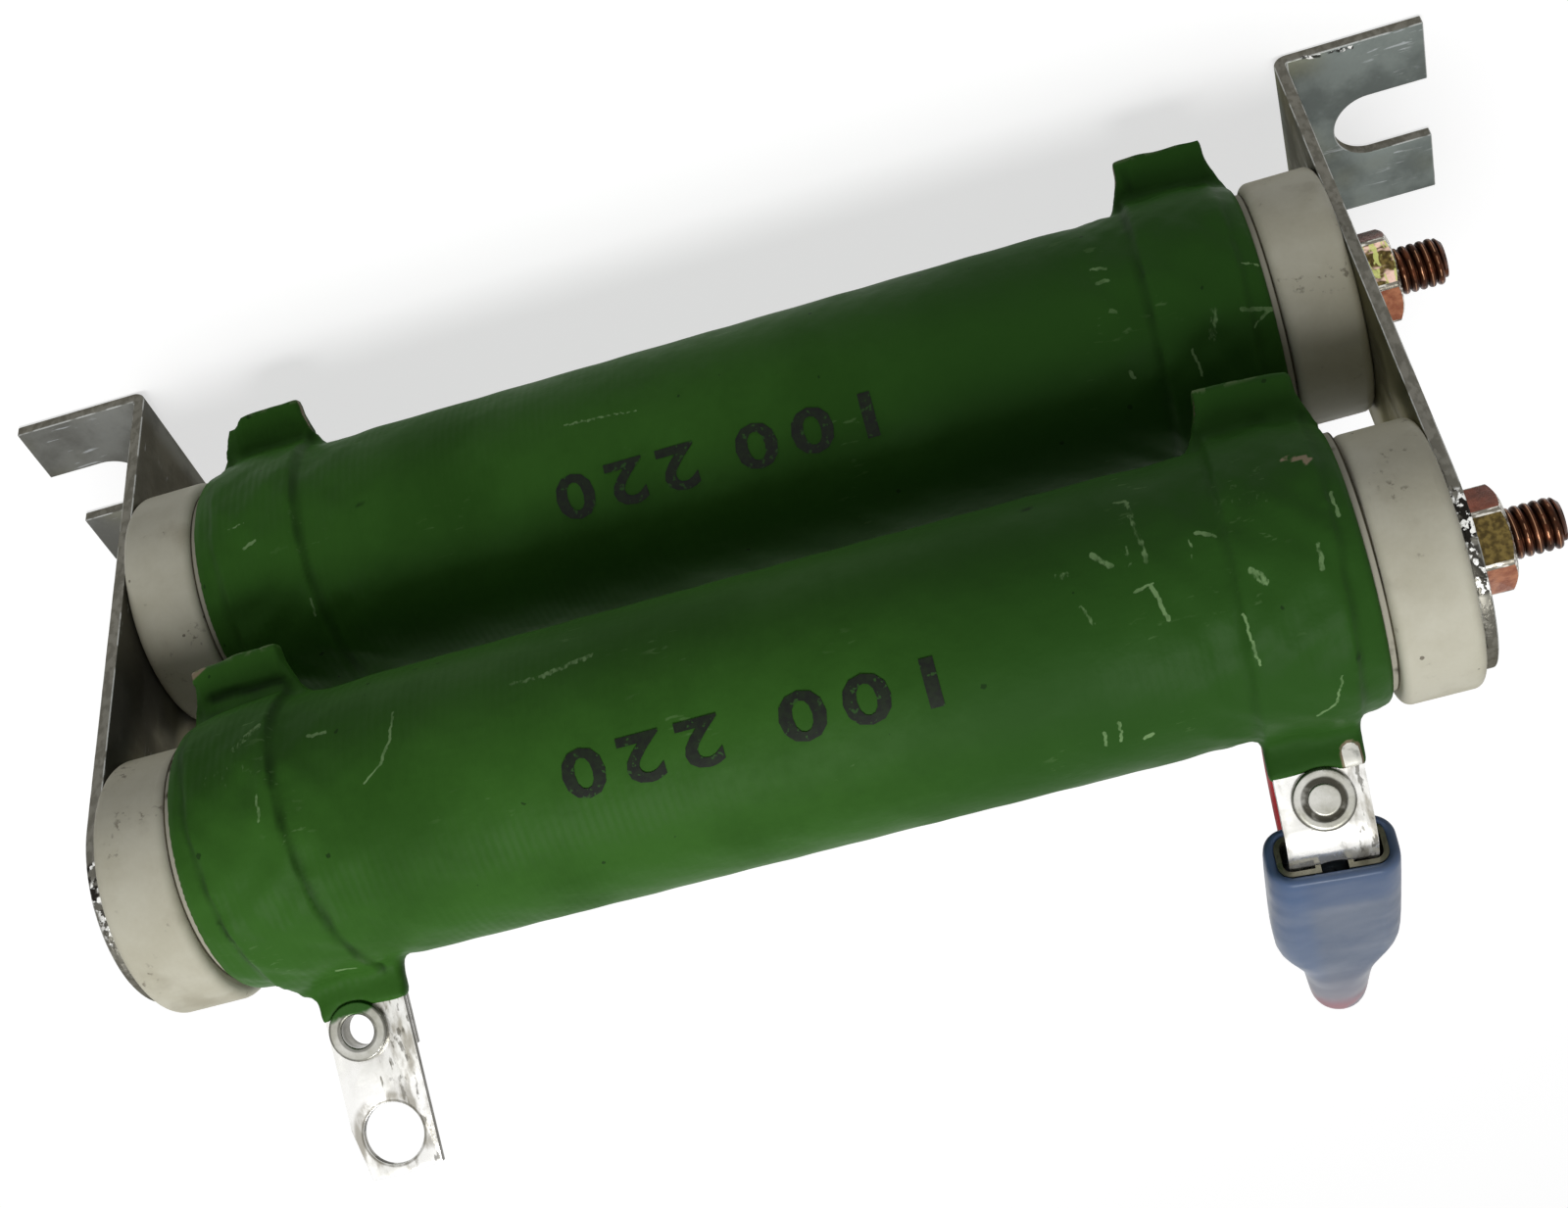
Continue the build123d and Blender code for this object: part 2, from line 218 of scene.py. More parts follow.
def add_lead(material):
    curve = bpy.data.curves.new("jumper_lead_curve", "CURVE")
    curve.dimensions = "3D"
    curve.bevel_depth = LEAD_R * MM
    curve.bevel_resolution = 6
    curve.resolution_u = 16
    curve.use_fill_caps = True
    spline = curve.splines.new("NURBS")
    spline.points.add(len(LEAD_ROUTE) - 1)
    for point, place in zip(spline.points, LEAD_ROUTE):
        point.co = (*(Vector(place) * MM), 1.0)
    spline.order_u = 3
    spline.use_endpoint_u = True
    lead = bpy.data.objects.new("lead", curve)
    scene.collection.objects.link(lead)
    curve.materials.append(material)
    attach(lead, "root")
    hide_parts("jumper_lead")
    return lead


# Shader helpers

def srgb(red, green, blue):
    """A colour as seen on screen, 0 to 255, as the linear colour that Blender works in."""
    linear = [((c / 255 + 0.055) / 1.055) ** 2.4 if c > 10 else c / 255 / 12.92 for c in (red, green, blue)]
    return (*linear, 1.0)


def feed(tree, socket, value):
    """Links a socket's input, or sets it where the value is plain."""
    if isinstance(value, bpy.types.NodeSocket):
        tree.links.new(value, socket)
    else:
        socket.default_value = value


def add_node(tree, kind, inputs=None, **settings):
    """A node with its settings made and its inputs fed."""
    node = tree.nodes.new(kind)
    for key, value in settings.items():
        setattr(node, key, value)
    for key, value in (inputs or {}).items():
        feed(tree, node.inputs[key], value)
    return node


def calculate(tree, operation, *values, clamp=False):
    inputs = dict(enumerate(values))
    return add_node(tree, "ShaderNodeMath", inputs, operation=operation, use_clamp=clamp).outputs[0]


def vector_math(tree, operation, first, second, output=0):
    key = "Scale" if operation == "SCALE" else 1
    node = add_node(tree, "ShaderNodeVectorMath", {0: first, key: second}, operation=operation)
    return node.outputs[output]


def blend_colour(tree, share, first, second):
    mix = add_node(tree, "ShaderNodeMix", {0: share, 6: first, 7: second}, data_type="RGBA")
    return mix.outputs[2]


def ramp(tree, value, low, high, to_low=0.0, to_high=1.0):
    """A value stretched smoothly from one span to another and held at its ends."""
    inputs = {0: value, 1: low, 2: high, 3: to_low, 4: to_high}
    return add_node(tree, "ShaderNodeMapRange", inputs, interpolation_type="SMOOTHSTEP").outputs[0]


def noise_value(tree, place, scale, detail=2.0, distortion=0.0):
    inputs = {"Vector": place, "Scale": scale, "Detail": detail, "Distortion": distortion}
    return add_node(tree, "ShaderNodeTexNoise", inputs).outputs["Fac"]


def scale_for(tree, size, times_finer=1):
    """A texture's scale, from the size of its features in millimetres."""
    return calculate(tree, "DIVIDE", times_finer / MM, size)


def new_group(name, inputs, outputs):
    """A shader node group; each socket has its kind, or the number that it starts at."""
    group = bpy.data.node_groups.new(name, "ShaderNodeTree")
    for in_out, sockets in (("INPUT", inputs), ("OUTPUT", outputs)):
        for label, kind in sockets.items():
            is_number = isinstance(kind, float)
            socket_type = "NodeSocketFloat" if is_number else "NodeSocket" + kind
            socket = group.interface.new_socket(label, in_out=in_out, socket_type=socket_type)
            if is_number:
                socket.default_value = kind
    return group, group.nodes.new("NodeGroupInput").outputs, group.nodes.new("NodeGroupOutput").inputs


def use_group(tree, group, inputs):
    node = tree.nodes.new("ShaderNodeGroup")
    node.node_tree = group
    for key, value in inputs.items():
        feed(tree, node.inputs[key], value)
    return node.outputs


def mottle_group():
    """Two colours mixed in soft clouds, with a finer grain on top."""
    group, inputs, outputs = new_group(
        "mottle",
        {"Vector": "Vector", "Size": 5.0, "Grain size": 0.5, "Colour": "Color", "Second colour": "Color"},
        {"Colour": "Color", "Mask": "Float"},
    )
    cloud = noise_value(group, inputs["Vector"], scale_for(group, inputs["Size"]), 4.0)
    grain = noise_value(group, inputs["Vector"], scale_for(group, inputs["Grain size"]))
    grain = calculate(group, "MULTIPLY_ADD", grain, 0.5, -0.25)
    mask = calculate(group, "ADD", ramp(group, cloud, 0.35, 0.65), grain, clamp=True)
    group.links.new(mask, outputs["Mask"])
    group.links.new(blend_colour(group, mask, inputs["Colour"], inputs["Second colour"]), outputs["Colour"])
    return group


def specks_group():
    """Small separate specks, as a mask."""
    group, inputs, outputs = new_group(
        "specks",
        {"Vector": "Vector", "Spacing": 1.0, "Share": 0.3, "Size": 0.25},
        {"Mask": "Float"},
    )
    wander = noise_value(group, inputs["Vector"], scale_for(group, inputs["Spacing"], times_finer=5))
    cells = add_node(group, "ShaderNodeTexVoronoi",
                     {"Vector": inputs["Vector"], "Scale": scale_for(group, inputs["Spacing"])})
    lot = add_node(group, "ShaderNodeSeparateColor", {0: cells.outputs["Color"]}).outputs
    chosen = calculate(group, "LESS_THAN", lot[0], inputs["Share"])
    reach = calculate(group, "MULTIPLY", calculate(group, "MULTIPLY", lot[1], inputs["Size"]),
                      calculate(group, "MULTIPLY", wander, 2.0))
    near = calculate(group, "LESS_THAN", cells.outputs["Distance"], reach)
    group.links.new(calculate(group, "MULTIPLY", chosen, near), outputs["Mask"])
    return group


def scuffs_group():
    """Thin broken scratches that run mostly one way, gathered in patches."""
    group, inputs, outputs = new_group(
        "scuffs",
        {"Vector": "Vector", "Spacing": 1.0, "Patch size": 8.0, "Share": 0.2, "Stretch": "Vector"},
        {"Mask": "Float"},
    )
    stretched = vector_math(group, "MULTIPLY", inputs["Vector"], inputs["Stretch"])
    lines = noise_value(group, stretched, scale_for(group, inputs["Spacing"]), 3.0, 0.4)
    patches = noise_value(group, inputs["Vector"], scale_for(group, inputs["Patch size"]))
    past = calculate(group, "SUBTRACT", patches, calculate(group, "SUBTRACT", 0.75, inputs["Share"]))
    where = calculate(group, "MULTIPLY", past, 12.0, clamp=True)
    group.links.new(calculate(group, "MULTIPLY", ramp(group, lines, 0.62, 0.68), where), outputs["Mask"])
    return group


def mark_group():
    """One scratch, smear or chip: a soft-edged line between two places on the piece."""
    group, inputs, outputs = new_group(
        "mark",
        {"Vector": "Vector", "Start": "Vector", "End": "Vector", "Width": 0.3, "Strength": 1.0},
        {"Mask": "Float"},
    )
    along = vector_math(group, "SUBTRACT", inputs["End"], inputs["Start"])
    away = vector_math(group, "SUBTRACT", inputs["Vector"], inputs["Start"])
    reach = vector_math(group, "DOT_PRODUCT", away, along, "Value")
    whole = vector_math(group, "DOT_PRODUCT", along, along, "Value")
    foot = vector_math(group, "SCALE", along, calculate(group, "DIVIDE", reach, whole, clamp=True))
    gap = vector_math(group, "DISTANCE", away, foot, "Value")
    half = calculate(group, "MULTIPLY", inputs["Width"], MM / 2)
    line = ramp(group, gap, half, calculate(group, "MULTIPLY", half, 0.45))
    group.links.new(calculate(group, "MULTIPLY", line, inputs["Strength"]), outputs["Mask"])
    return group


MOTTLE = mottle_group()
SPECKS = specks_group()
SCUFFS = scuffs_group()
MARK = mark_group()

# Scale of the noise that breaks the marks' edges, in waves to the metre
MARK_RAGGEDNESS = 1300.0


class Finish:
    """A material being made: its tree and shader, the piece's own coordinates and the colour laid so far."""

    def __init__(self, name, roughness=0.5, metallic=0.0, gloss=0.5):
        self.material = bpy.data.materials.new(name)
        self.material.use_nodes = True
        self.tree = self.material.node_tree
        self.shader = self.tree.nodes["Principled BSDF"]
        self.set("Roughness", roughness)
        self.set("Metallic", metallic)
        self.set("Specular IOR Level", gloss)
        self.place = add_node(self.tree, "ShaderNodeTexCoord").outputs["Object"]

    def set(self, label, value):
        """Feeds one of the shader's own sockets."""
        feed(self.tree, self.shader.inputs[label], value)

    def mottle(self, colour, second, size, grain_size):
        """Two colours in clouds, and the clouds as a mask."""
        outputs = use_group(self.tree, MOTTLE, {"Vector": self.place, "Size": size, "Grain size": grain_size,
                                                "Colour": srgb(*colour), "Second colour": srgb(*second)})
        return outputs["Colour"], outputs["Mask"]

    def start(self, colour, second, size, grain_size):
        """Lays the first colours and gives their clouds as a mask."""
        self.laid, clouds = self.mottle(colour, second, size, grain_size)
        return clouds

    def lay(self, share, colour, opacity=1.0):
        """Lays a colour, or a socket's colours, over what is there, where the share says and as opaque."""
        if isinstance(colour, tuple):
            colour = srgb(*colour)
        self.laid = blend_colour(self.tree, self.times(share, opacity), self.laid, colour)

    def finished(self):
        self.set("Base Color", self.laid)
        return self.material

    def specks(self, spacing, share, size):
        inputs = {"Vector": self.place, "Spacing": spacing, "Share": share, "Size": size}
        return use_group(self.tree, SPECKS, inputs)["Mask"]

    def scuffs(self, spacing, patch_size, share, stretch):
        inputs = {"Vector": self.place, "Spacing": spacing, "Patch size": patch_size, "Share": share,
                  "Stretch": stretch}
        return use_group(self.tree, SCUFFS, inputs)["Mask"]

    def marks(self, marks, wander):
        """Marks, each a start and an end in millimetres, a width and a strength, with broken edges."""
        inputs = {"Vector": self.place, "Scale": MARK_RAGGEDNESS, "Detail": 2.0}
        noise = add_node(self.tree, "ShaderNodeTexNoise", inputs).outputs
        shift = vector_math(self.tree, "SUBTRACT", noise["Color"], (0.5, 0.5, 0.5))
        shift = vector_math(self.tree, "SCALE", shift, wander * MM)
        place = vector_math(self.tree, "ADD", self.place, shift)
        total = 0.0
        for start, end, width, strength in marks:
            inputs = {"Vector": place, "Start": Vector(start) * MM, "End": Vector(end) * MM, "Width": width,
                      "Strength": strength}
            total = self.larger(total, use_group(self.tree, MARK, inputs)["Mask"])
        return self.times(total, self.ramp(noise["Fac"], 0.38, 0.5))

    def noise(self, size, detail=3.0, stretch=None):
        place = vector_math(self.tree, "MULTIPLY", self.place, stretch) if stretch else self.place
        return noise_value(self.tree, place, 1 / MM / size, detail)

    def patches(self, size, low, high, detail=3.0, stretch=None, to_low=0.0):
        """Noise between two of its levels, as a mask of soft-edged patches."""
        return self.ramp(self.noise(size, detail, stretch), low, high, to_low)

    def attribute(self, name):
        return add_node(self.tree, "ShaderNodeAttribute", attribute_name=name).outputs["Fac"]

    def ring(self, centre, radius, half_width):
        """A circle round a place, in millimetres, as a mask."""
        away = vector_math(self.tree, "DISTANCE", self.place, centre * MM, "Value")
        gap = calculate(self.tree, "SUBTRACT", calculate(self.tree, "DIVIDE", away, MM), radius)
        return self.ramp(self.absolute(gap), half_width, half_width * 0.4)

    def across(self, place, axis):
        """How far each point lies along an axis of a local frame, in millimetres."""
        away = vector_math(self.tree, "SUBTRACT", self.place, place.translation * MM)
        reach = vector_math(self.tree, "DOT_PRODUCT", away, place.to_3x3().col[axis], "Value")
        return calculate(self.tree, "DIVIDE", reach, MM)

    def along(self, axis):
        """The piece's own coordinate along one axis, in millimetres."""
        parts = add_node(self.tree, "ShaderNodeSeparateXYZ", {0: self.place})
        return calculate(self.tree, "DIVIDE", parts.outputs[axis], MM)

    def from_tube(self, tier):
        """How far each point lies from a tube's axis, in millimetres."""
        y, z = TUBE_AXIS[tier]
        away = vector_math(self.tree, "SUBTRACT", self.place, (0.0, y * MM, z * MM))
        flat = vector_math(self.tree, "MULTIPLY", away, (0.0, 1.0, 1.0))
        return calculate(self.tree, "DIVIDE", vector_math(self.tree, "LENGTH", flat, (0, 0, 0), "Value"), MM)

    def ramp(self, value, low, high, to_low=0.0, to_high=1.0):
        return ramp(self.tree, value, low, high, to_low, to_high)

    def times(self, first, second):
        return calculate(self.tree, "MULTIPLY", first, second)

    def plus(self, first, second):
        return calculate(self.tree, "ADD", first, second)

    def larger(self, first, second):
        return calculate(self.tree, "MAXIMUM", first, second)

    def absolute(self, value):
        return calculate(self.tree, "ABSOLUTE", value)

    def roughness(self, value, low, high):
        self.set("Roughness", self.ramp(value, 0.0, 1.0, low, high))

    def bump(self, height):
        """Relief, from heights in millimetres."""
        relief = add_node(self.tree, "ShaderNodeBump", {"Height": height, "Distance": MM})
        self.set("Normal", relief.outputs[0])


# Wear on the coats: start and end as reach along the tube and angle round it, width, strength

SCRATCHES = {
    "upper": [
        ((26.0, 184), (26.3, 172), 0.25, 0.9),
        ((26.3, 172), (27.2, 162), 0.28, 1.0),
        ((27.2, 162), (28.7, 156), 0.22, 0.8),
        ((16.7, 182), (14.2, 182), 0.6, 0.6),
        ((14.2, 182), (10.6, 186), 0.8, 0.6),
        ((32.9, 184), (31.4, 183), 0.5, 0.7),
        ((38.5, 184), (36.8, 193), 1.0, 0.5),
        ((40.4, 172), (37.2, 174), 2.8, 0.3),
        ((36.8, 162), (36.8, 152), 0.4, 0.6),
        ((36.6, 72), (35.6, 68), 0.7, 0.8),
        ((-29.6, 192), (-29.9, 162), 0.7, 0.55),
        ((-29.8, 152), (-30.3, 139), 0.5, 0.95),
        ((-28.7, 152), (-29.8, 153), 0.4, 0.85),
        ((-28.8, 193), (-29.8, 191), 0.4, 0.7),
        ((-26.3, 170), (-27.4, 164), 0.7, 0.7),
        ((-28.7, 169), (-28.6, 163), 0.9, 0.45),
        ((-23.5, 165), (-24.4, 165), 0.9, 0.5),
        ((-24.7, 151), (-25.3, 144), 0.6, 0.5),
        ((-33.7, 168), (-34.8, 165), 0.5, 0.85),
        ((-33.1, 166), (-33.0, 159), 0.3, 0.6),
        ((-37.1, 178), (-38.4, 171), 2.6, 0.3),
        ((-36.6, 148), (-37.3, 143), 0.9, 0.6),
        ((-35.2, 134), (-35.5, 114), 0.35, 0.85),
        ((-41.4, 151), (-41.2, 143), 0.7, 0.6),
        ((-40.8, 102), (-40.0, 87), 0.3, 0.8),
        ((-40.0, 87), (-38.6, 82), 0.3, 0.8),
        ((-24.0, 101), (-23.9, 94), 0.35, 0.9),
        ((-25.2, 104), (-25.0, 94), 0.35, 0.9),
        ((-26.6, 92), (-27.3, 94), 0.5, 0.7),
        ((-43.3, 170), (-43.3, 160), 0.3, 0.8),
    ],
    "lower": [
        ((11.7, 171), (8.0, 170), 0.4, 0.6),
        ((8.0, 170), (5.6, 168), 0.3, 0.6),
        ((40.8, 165), (39.4, 166), 0.25, 0.6),
        ((39.8, 155), (38.7, 157), 0.4, 0.8),
        ((35.3, 127), (35.4, 120), 0.4, 0.7),
        ((-32.0, 175), (-33.0, 173), 0.5, 0.8),
        ((-32.1, 167), (-33.0, 167), 0.5, 0.9),
        ((-32.5, 153), (-32.9, 152), 0.5, 0.8),
        ((-32.8, 126), (-32.9, 124), 0.6, 0.8),
        ((-42.0, 139), (-44.2, 136), 0.5, 0.9),
        ((-44.1, 136), (-42.7, 131), 0.3, 0.7),
        ((-40.0, 141), (-39.4, 131), 1.0, 0.5),
        ((-43.1, 157), (-44.0, 156), 0.3, 0.7),
        ((-37.7, 129), (-38.0, 118), 0.35, 0.8),
    ],
}
DARK_SPOTS = {
    "upper": [
        ((-22.4, 205), (-22.9, 205), 0.6, 1.0),
        ((-42.1, 108), (-42.2, 106), 0.35, 1.0),
        ((42.2, 117), (41.9, 108), 0.5, 0.8),
    ],
    "lower": [((29.5, 161), (29.7, 161), 0.5, 0.8)],
}
CHIPS = {
    "upper": [
        ((-41.0, 189), (-42.5, 186), 0.55, 1.0),
        ((-42.5, 186), (-42.2, 184), 0.4, 1.0),
    ],
    "lower": [],
}

# Bare metal on the ears and collars: ends in the strip's local frame, width, and 1 for brown or 2 for bright
BARE_PLACES = {
    ("upper", "left"): [
        ((-15.3, 0.9, 2.6), (-14.8, 0.9, 3.7), 1.1, 1.0),
        ((-15.5, 0.0, 3.4), (-15.5, 0.0, 1.0), 0.7, 1.0),
    ],
    ("upper", "right"): [
        ((-14.6, 0.3, 3.6), (-12.6, 0.3, 3.7), 0.7, 1.0),
        ((14.6, 0.9, -2.6), (13.0, 0.9, -2.5), 1.8, 2.0),
    ],
    ("lower", "left"): [((-15.2, 0.2, -3.7), (-12.2, 0.2, -3.9), 0.8, 1.0)],
    ("lower", "right"): [((-14.6, 0.3, 3.6), (-12.4, 0.3, 3.7), 0.7, 1.0)],
}


# Green coat

RIDGE_PITCH = 0.65
RIDGE_HEIGHT = 0.009

# Where along X a painted shade darkens the green, and where the wire's turns begin to show
PAINTED_SHADE_X = (0.0, -26.0)
TURNS_X = (-10.0, 22.0)


def green_coat(tier):
    """Dipped green cement: satin, with faint turns of wire showing through, chips and pale scuffs."""
    finish = Finish(tier + " green coat", gloss=0.05)
    clouds = finish.start((57, 101, 37), (48, 88, 30), 13.0, 0.8)
    # Painted shade: the green darker towards -X
    finish.lay(finish.ramp(finish.along("X"), *PAINTED_SHADE_X), (43, 80, 29), 0.8)
    # Painted shade in the grooves, with the coat's dark spots
    finish.lay(finish.attribute("groove_shade_and_dark_spots"), (16, 34, 11), 0.85)
    finish.lay(finish.specks(1.9, 0.2, 0.13), (24, 44, 18), 0.7)
    finish.lay(finish.scuffs(0.45, 7.0, 0.14, (0.3, 1.0, 1.0)), (112, 146, 92), 0.35)
    rims = finish.ramp(finish.from_tube(tier), EAR_REACH - 0.3, EAR_REACH + 0.2)
    finish.lay(finish.times(rims, finish.patches(0.9, 0.5, 0.58)), (120, 140, 98), 0.6)
    scratched = finish.times(finish.attribute("scratch"), 0.8)
    ragged = finish.plus(scratched, finish.noise(0.35, 5.0, (1.0, 0.5, 0.5)))
    faded = finish.patches(1.6, 0.3, 0.55, detail=4.0, to_low=0.35)
    scratches = finish.times(finish.ramp(ragged, 0.84, 1.06), faded)
    finish.lay(scratches, (128, 162, 108), 0.85)
    metal = finish.attribute("bare")
    brown = finish.times(finish.ramp(metal, 0.2, 0.6), finish.patches(0.7, 0.3, 0.45))
    finish.lay(brown, (104, 94, 76))
    finish.lay(finish.ramp(metal, 1.05, 1.25), (190, 189, 182))
    finish.set("Metallic", finish.times(brown, 0.8))
    finish.roughness(clouds, 0.44, 0.56)
    turns = calculate(finish.tree, "SINE", finish.times(finish.along("X"), math.tau / RIDGE_PITCH))
    shown = finish.times(finish.ramp(finish.along("X"), *TURNS_X, 0.3),
                         finish.patches(6.0, 0.3, 0.6, detail=1.0, to_low=0.3))
    height = finish.times(finish.times(turns, shown), RIDGE_HEIGHT)
    height = finish.plus(height, finish.times(finish.noise(2.4), 0.1))
    height = finish.plus(height, finish.times(finish.noise(0.5), 0.012))
    finish.bump(finish.plus(height, finish.times(scratches, -0.02)))
    return finish.finished()


# Ceramic

# A smear of dirt on the near cap: two ends, width, strength
CAP_SMEAR = ((-45.6, -7.0, 63.8), (-47.9, -7.0, 64.0), 1.8, 0.8)

# The stretch of each tube end, as reach along X, that stays pale; outside it the rim is dark, a stain with
# painted shade of the narrow gaps by the coat and the cap
PALE_RIM_X = (44.4, 44.92)


def cap_ceramic():
    """Unglazed off-white ceramic with rubbed-in dirt."""
    finish = Finish("cap ceramic", gloss=0.2)
    clouds = finish.start((207, 204, 186), (196, 192, 172), 6.0, 0.35)
    finish.lay(finish.patches(4.5, 0.56, 0.74, detail=5.0), (150, 142, 120), 0.35)
    grime = finish.times(finish.patches(0.5, 0.55, 0.66, detail=4.0), finish.patches(3.0, 0.58, 0.68))
    finish.lay(grime, (112, 104, 90), 0.7)
    finish.lay(finish.specks(1.8, 0.25, 0.1), (84, 74, 60), 0.75)
    finish.lay(finish.marks([CAP_SMEAR], 0.9), (108, 100, 88), 0.8)
    finish.roughness(clouds, 0.52, 0.66)
    finish.bump(finish.times(finish.noise(0.7), 0.02))
    return finish.finished()


def tube_ceramic():
    """The tube's bare rims: dark beside the coat and the cap, a stain with painted shade of the narrow gaps
    there, and pale between.
    """
    finish = Finish("tube ceramic", roughness=0.7, gloss=0.1)
    # Dark base: a stain, and painted shade in the gaps by the coat and the cap
    finish.start((74, 68, 50), (44, 41, 29), 2.2, 0.3)
    reach = finish.absolute(finish.along("X"))
    inner, outer = PALE_RIM_X
    pale_band = finish.times(finish.ramp(reach, inner, inner + 0.15), finish.ramp(reach, outer, outer - 0.08))
    finish.lay(finish.times(pale_band, finish.patches(4.0, 0.28, 0.36)), (186, 182, 166), 0.85)
    finish.bump(finish.times(finish.noise(0.5), 0.02))
    return finish.finished()


# Brackets

ZINC = {"left": ((112, 113, 109), (92, 92, 88)), "right": ((118, 125, 121), (98, 104, 101))}

# Heights on a plate's inner face between which a painted shade comes in, and where painted light lifts it
# again on the right
INNER_SHADE_Z = (1.5, 4.0)
LIT_Z = (18.0, 34.0)

# Torn and blackened spots on the edges: two ends, width, strength
BURRS = {
    "left": [
        ((51.5, -8.3, 51.0), (51.5, -7.1, 53.6), 1.5, 1.0),
        ((51.5, -7.1, 53.6), (51.5, -4.4, 56.0), 1.1, 0.6),
    ],
    "right": [
        ((-51.5, -9.0, 50.0), (-51.5, -7.4, 52.9), 1.5, 1.0),
        ((-51.5, -7.4, 52.9), (-51.5, -4.6, 55.4), 1.2, 0.8),
        ((-53.2, -8.9, 1.0), (-57.5, -8.6, 1.0), 0.4, 0.9),
    ],
}


def bracket_zinc(side):
    """Zinc plate: a cool spangled grey, a faint olive tint in places, and rough sheared edges."""
    finish = Finish(side + " bracket zinc", metallic=0.9)
    clouds = finish.start(*ZINC[side], 5.0, 0.4)
    finish.lay(finish.patches(11.0, 0.5, 0.68, detail=2.0), (118, 117, 92), 0.55)
    reach = finish.absolute(finish.along("X"))
    # Painted shade on the plates' inner faces, above the foot
    inner = finish.times(finish.ramp(reach, PLATE_INNER_X + 0.1, PLATE_INNER_X - 0.05),
                         finish.ramp(finish.along("Z"), *INNER_SHADE_Z))
    finish.lay(inner, (66, 62, 50), 0.8)
    finish.set("Specular Tint", (0.45, 0.43, 0.37, 1.0))
    # Painted light on the right plate's inner face, higher up
    if side == "right":
        lit = finish.times(inner, finish.ramp(finish.along("Z"), *LIT_Z))
        finish.lay(lit, (150, 145, 110), 0.8)
    finish.lay(finish.scuffs(0.35, 7.0, 0.25, (0.15, 1.0, 0.15)), (186, 190, 192), 0.5)
    edge = finish.attribute("edge")
    sheared = finish.times(edge, finish.patches(0.55, 0.42, 0.6, detail=4.0, stretch=(1.0, 0.6, 0.6)))
    finish.lay(edge, (112, 110, 102))
    finish.lay(sheared, (76, 74, 66), 0.5)
    # Painted highlight on the bevels' narrow faces
    finish.lay(finish.times(finish.attribute("bevel_highlight"), finish.patches(2.5, 0.4, 0.5)), (196, 198, 196), 0.55)
    burr = finish.marks(BURRS[side], 0.6)
    finish.lay(burr, (24, 22, 20), 0.95)
    finish.lay(finish.times(burr, finish.patches(0.5, 0.5, 0.56)), (240, 240, 236))
    finish.roughness(clouds, 0.38, 0.54)
    finish.bump(finish.plus(finish.times(finish.noise(0.8), 0.012), finish.times(sheared, 0.03)))
    return finish.finished()


# Tinned pieces

TIN_STREAK = (112, 108, 96)

# How far across a lug its streaked half and its dark sides begin and are full
STREAKED_HALF = (0.6, -3.0)
DARK_SIDES = (2.7, 3.25)

# Wear and lip round a lug's hole: radius, half width
HOLE_WEAR = (2.6, 1.0)
HOLE_LIP = (LUG_HOLE_LIP_R, 0.22)

# Painted shade in the creases round the eyelets and rivets: radius, half width, strength
EYELET_SHADE_RINGS = {
    "left": [(1.45, 0.22, 0.6), (2.3, 0.22, 0.7)],
    "right": [(1.45, 0.34, 0.95), (2.32, 0.2, 0.7)],
}

# How far inwards of the eyelet's middle the lapping cement starts and is full
CEMENT_LAP = (0.3, 0.8)


def tinned_metal(name, bright, dull, streak):
    """Hot-tinned metal: bright, softly rippled, with dark streaks in patches."""
    finish = Finish(name, metallic=0.85)
    clouds = finish.start(bright, dull, 3.0, 0.3)
    finish.lay(finish.scuffs(0.4, 3.0, 0.24, (1.0, 0.25, 0.25)), streak, 0.8)
    finish.roughness(clouds, 0.2, 0.42)
    finish.bump(finish.times(finish.noise(1.4), 0.06))
    return finish


def strip_tin(tier, side):
    """White in the middle, streaked towards its sides and round its hole, dark on its cut edges."""
    finish = tinned_metal(f"{tier} {side} strip tin", (254, 253, 250), (232, 231, 226), TIN_STREAK)
    place = strip_frame(tier, side)
    hole_centre = place @ Vector((LUG_HOLE_REACH, EYELET_TOP, 0))
    width_place = finish.across(place, 2)
    rim = finish.ramp(width_place, *STREAKED_HALF)
    sides = finish.ramp(finish.absolute(width_place), *DARK_SIDES)
    streaks = finish.noise(0.9, 4.0, (1.0, 0.35, 0.35))
    worn = finish.larger(finish.larger(rim, finish.ring(hole_centre, *HOLE_WEAR)), sides)
    finish.lay(finish.times(worn, finish.ramp(streaks, 0.42, 0.64)), (144, 138, 122), 0.75)
    torn = finish.patches(0.5, 0.56, 0.64, detail=4.0, stretch=(1.0, 0.4, 0.4))
    finish.lay(finish.times(rim, torn), (84, 80, 68), 0.75)
    lip = finish.ring(hole_centre, *HOLE_LIP)
    finish.lay(finish.times(lip, finish.ramp(streaks, 0.3, 0.5, 0.4)), (98, 94, 82), 0.7)
    # Painted highlight on the bevels' narrow faces
    finish.lay(finish.attribute("bevel_highlight"), (255, 255, 252), 0.6)
    finish.lay(finish.attribute("edge"), (70, 66, 56), 0.85)
    return finish.finished()


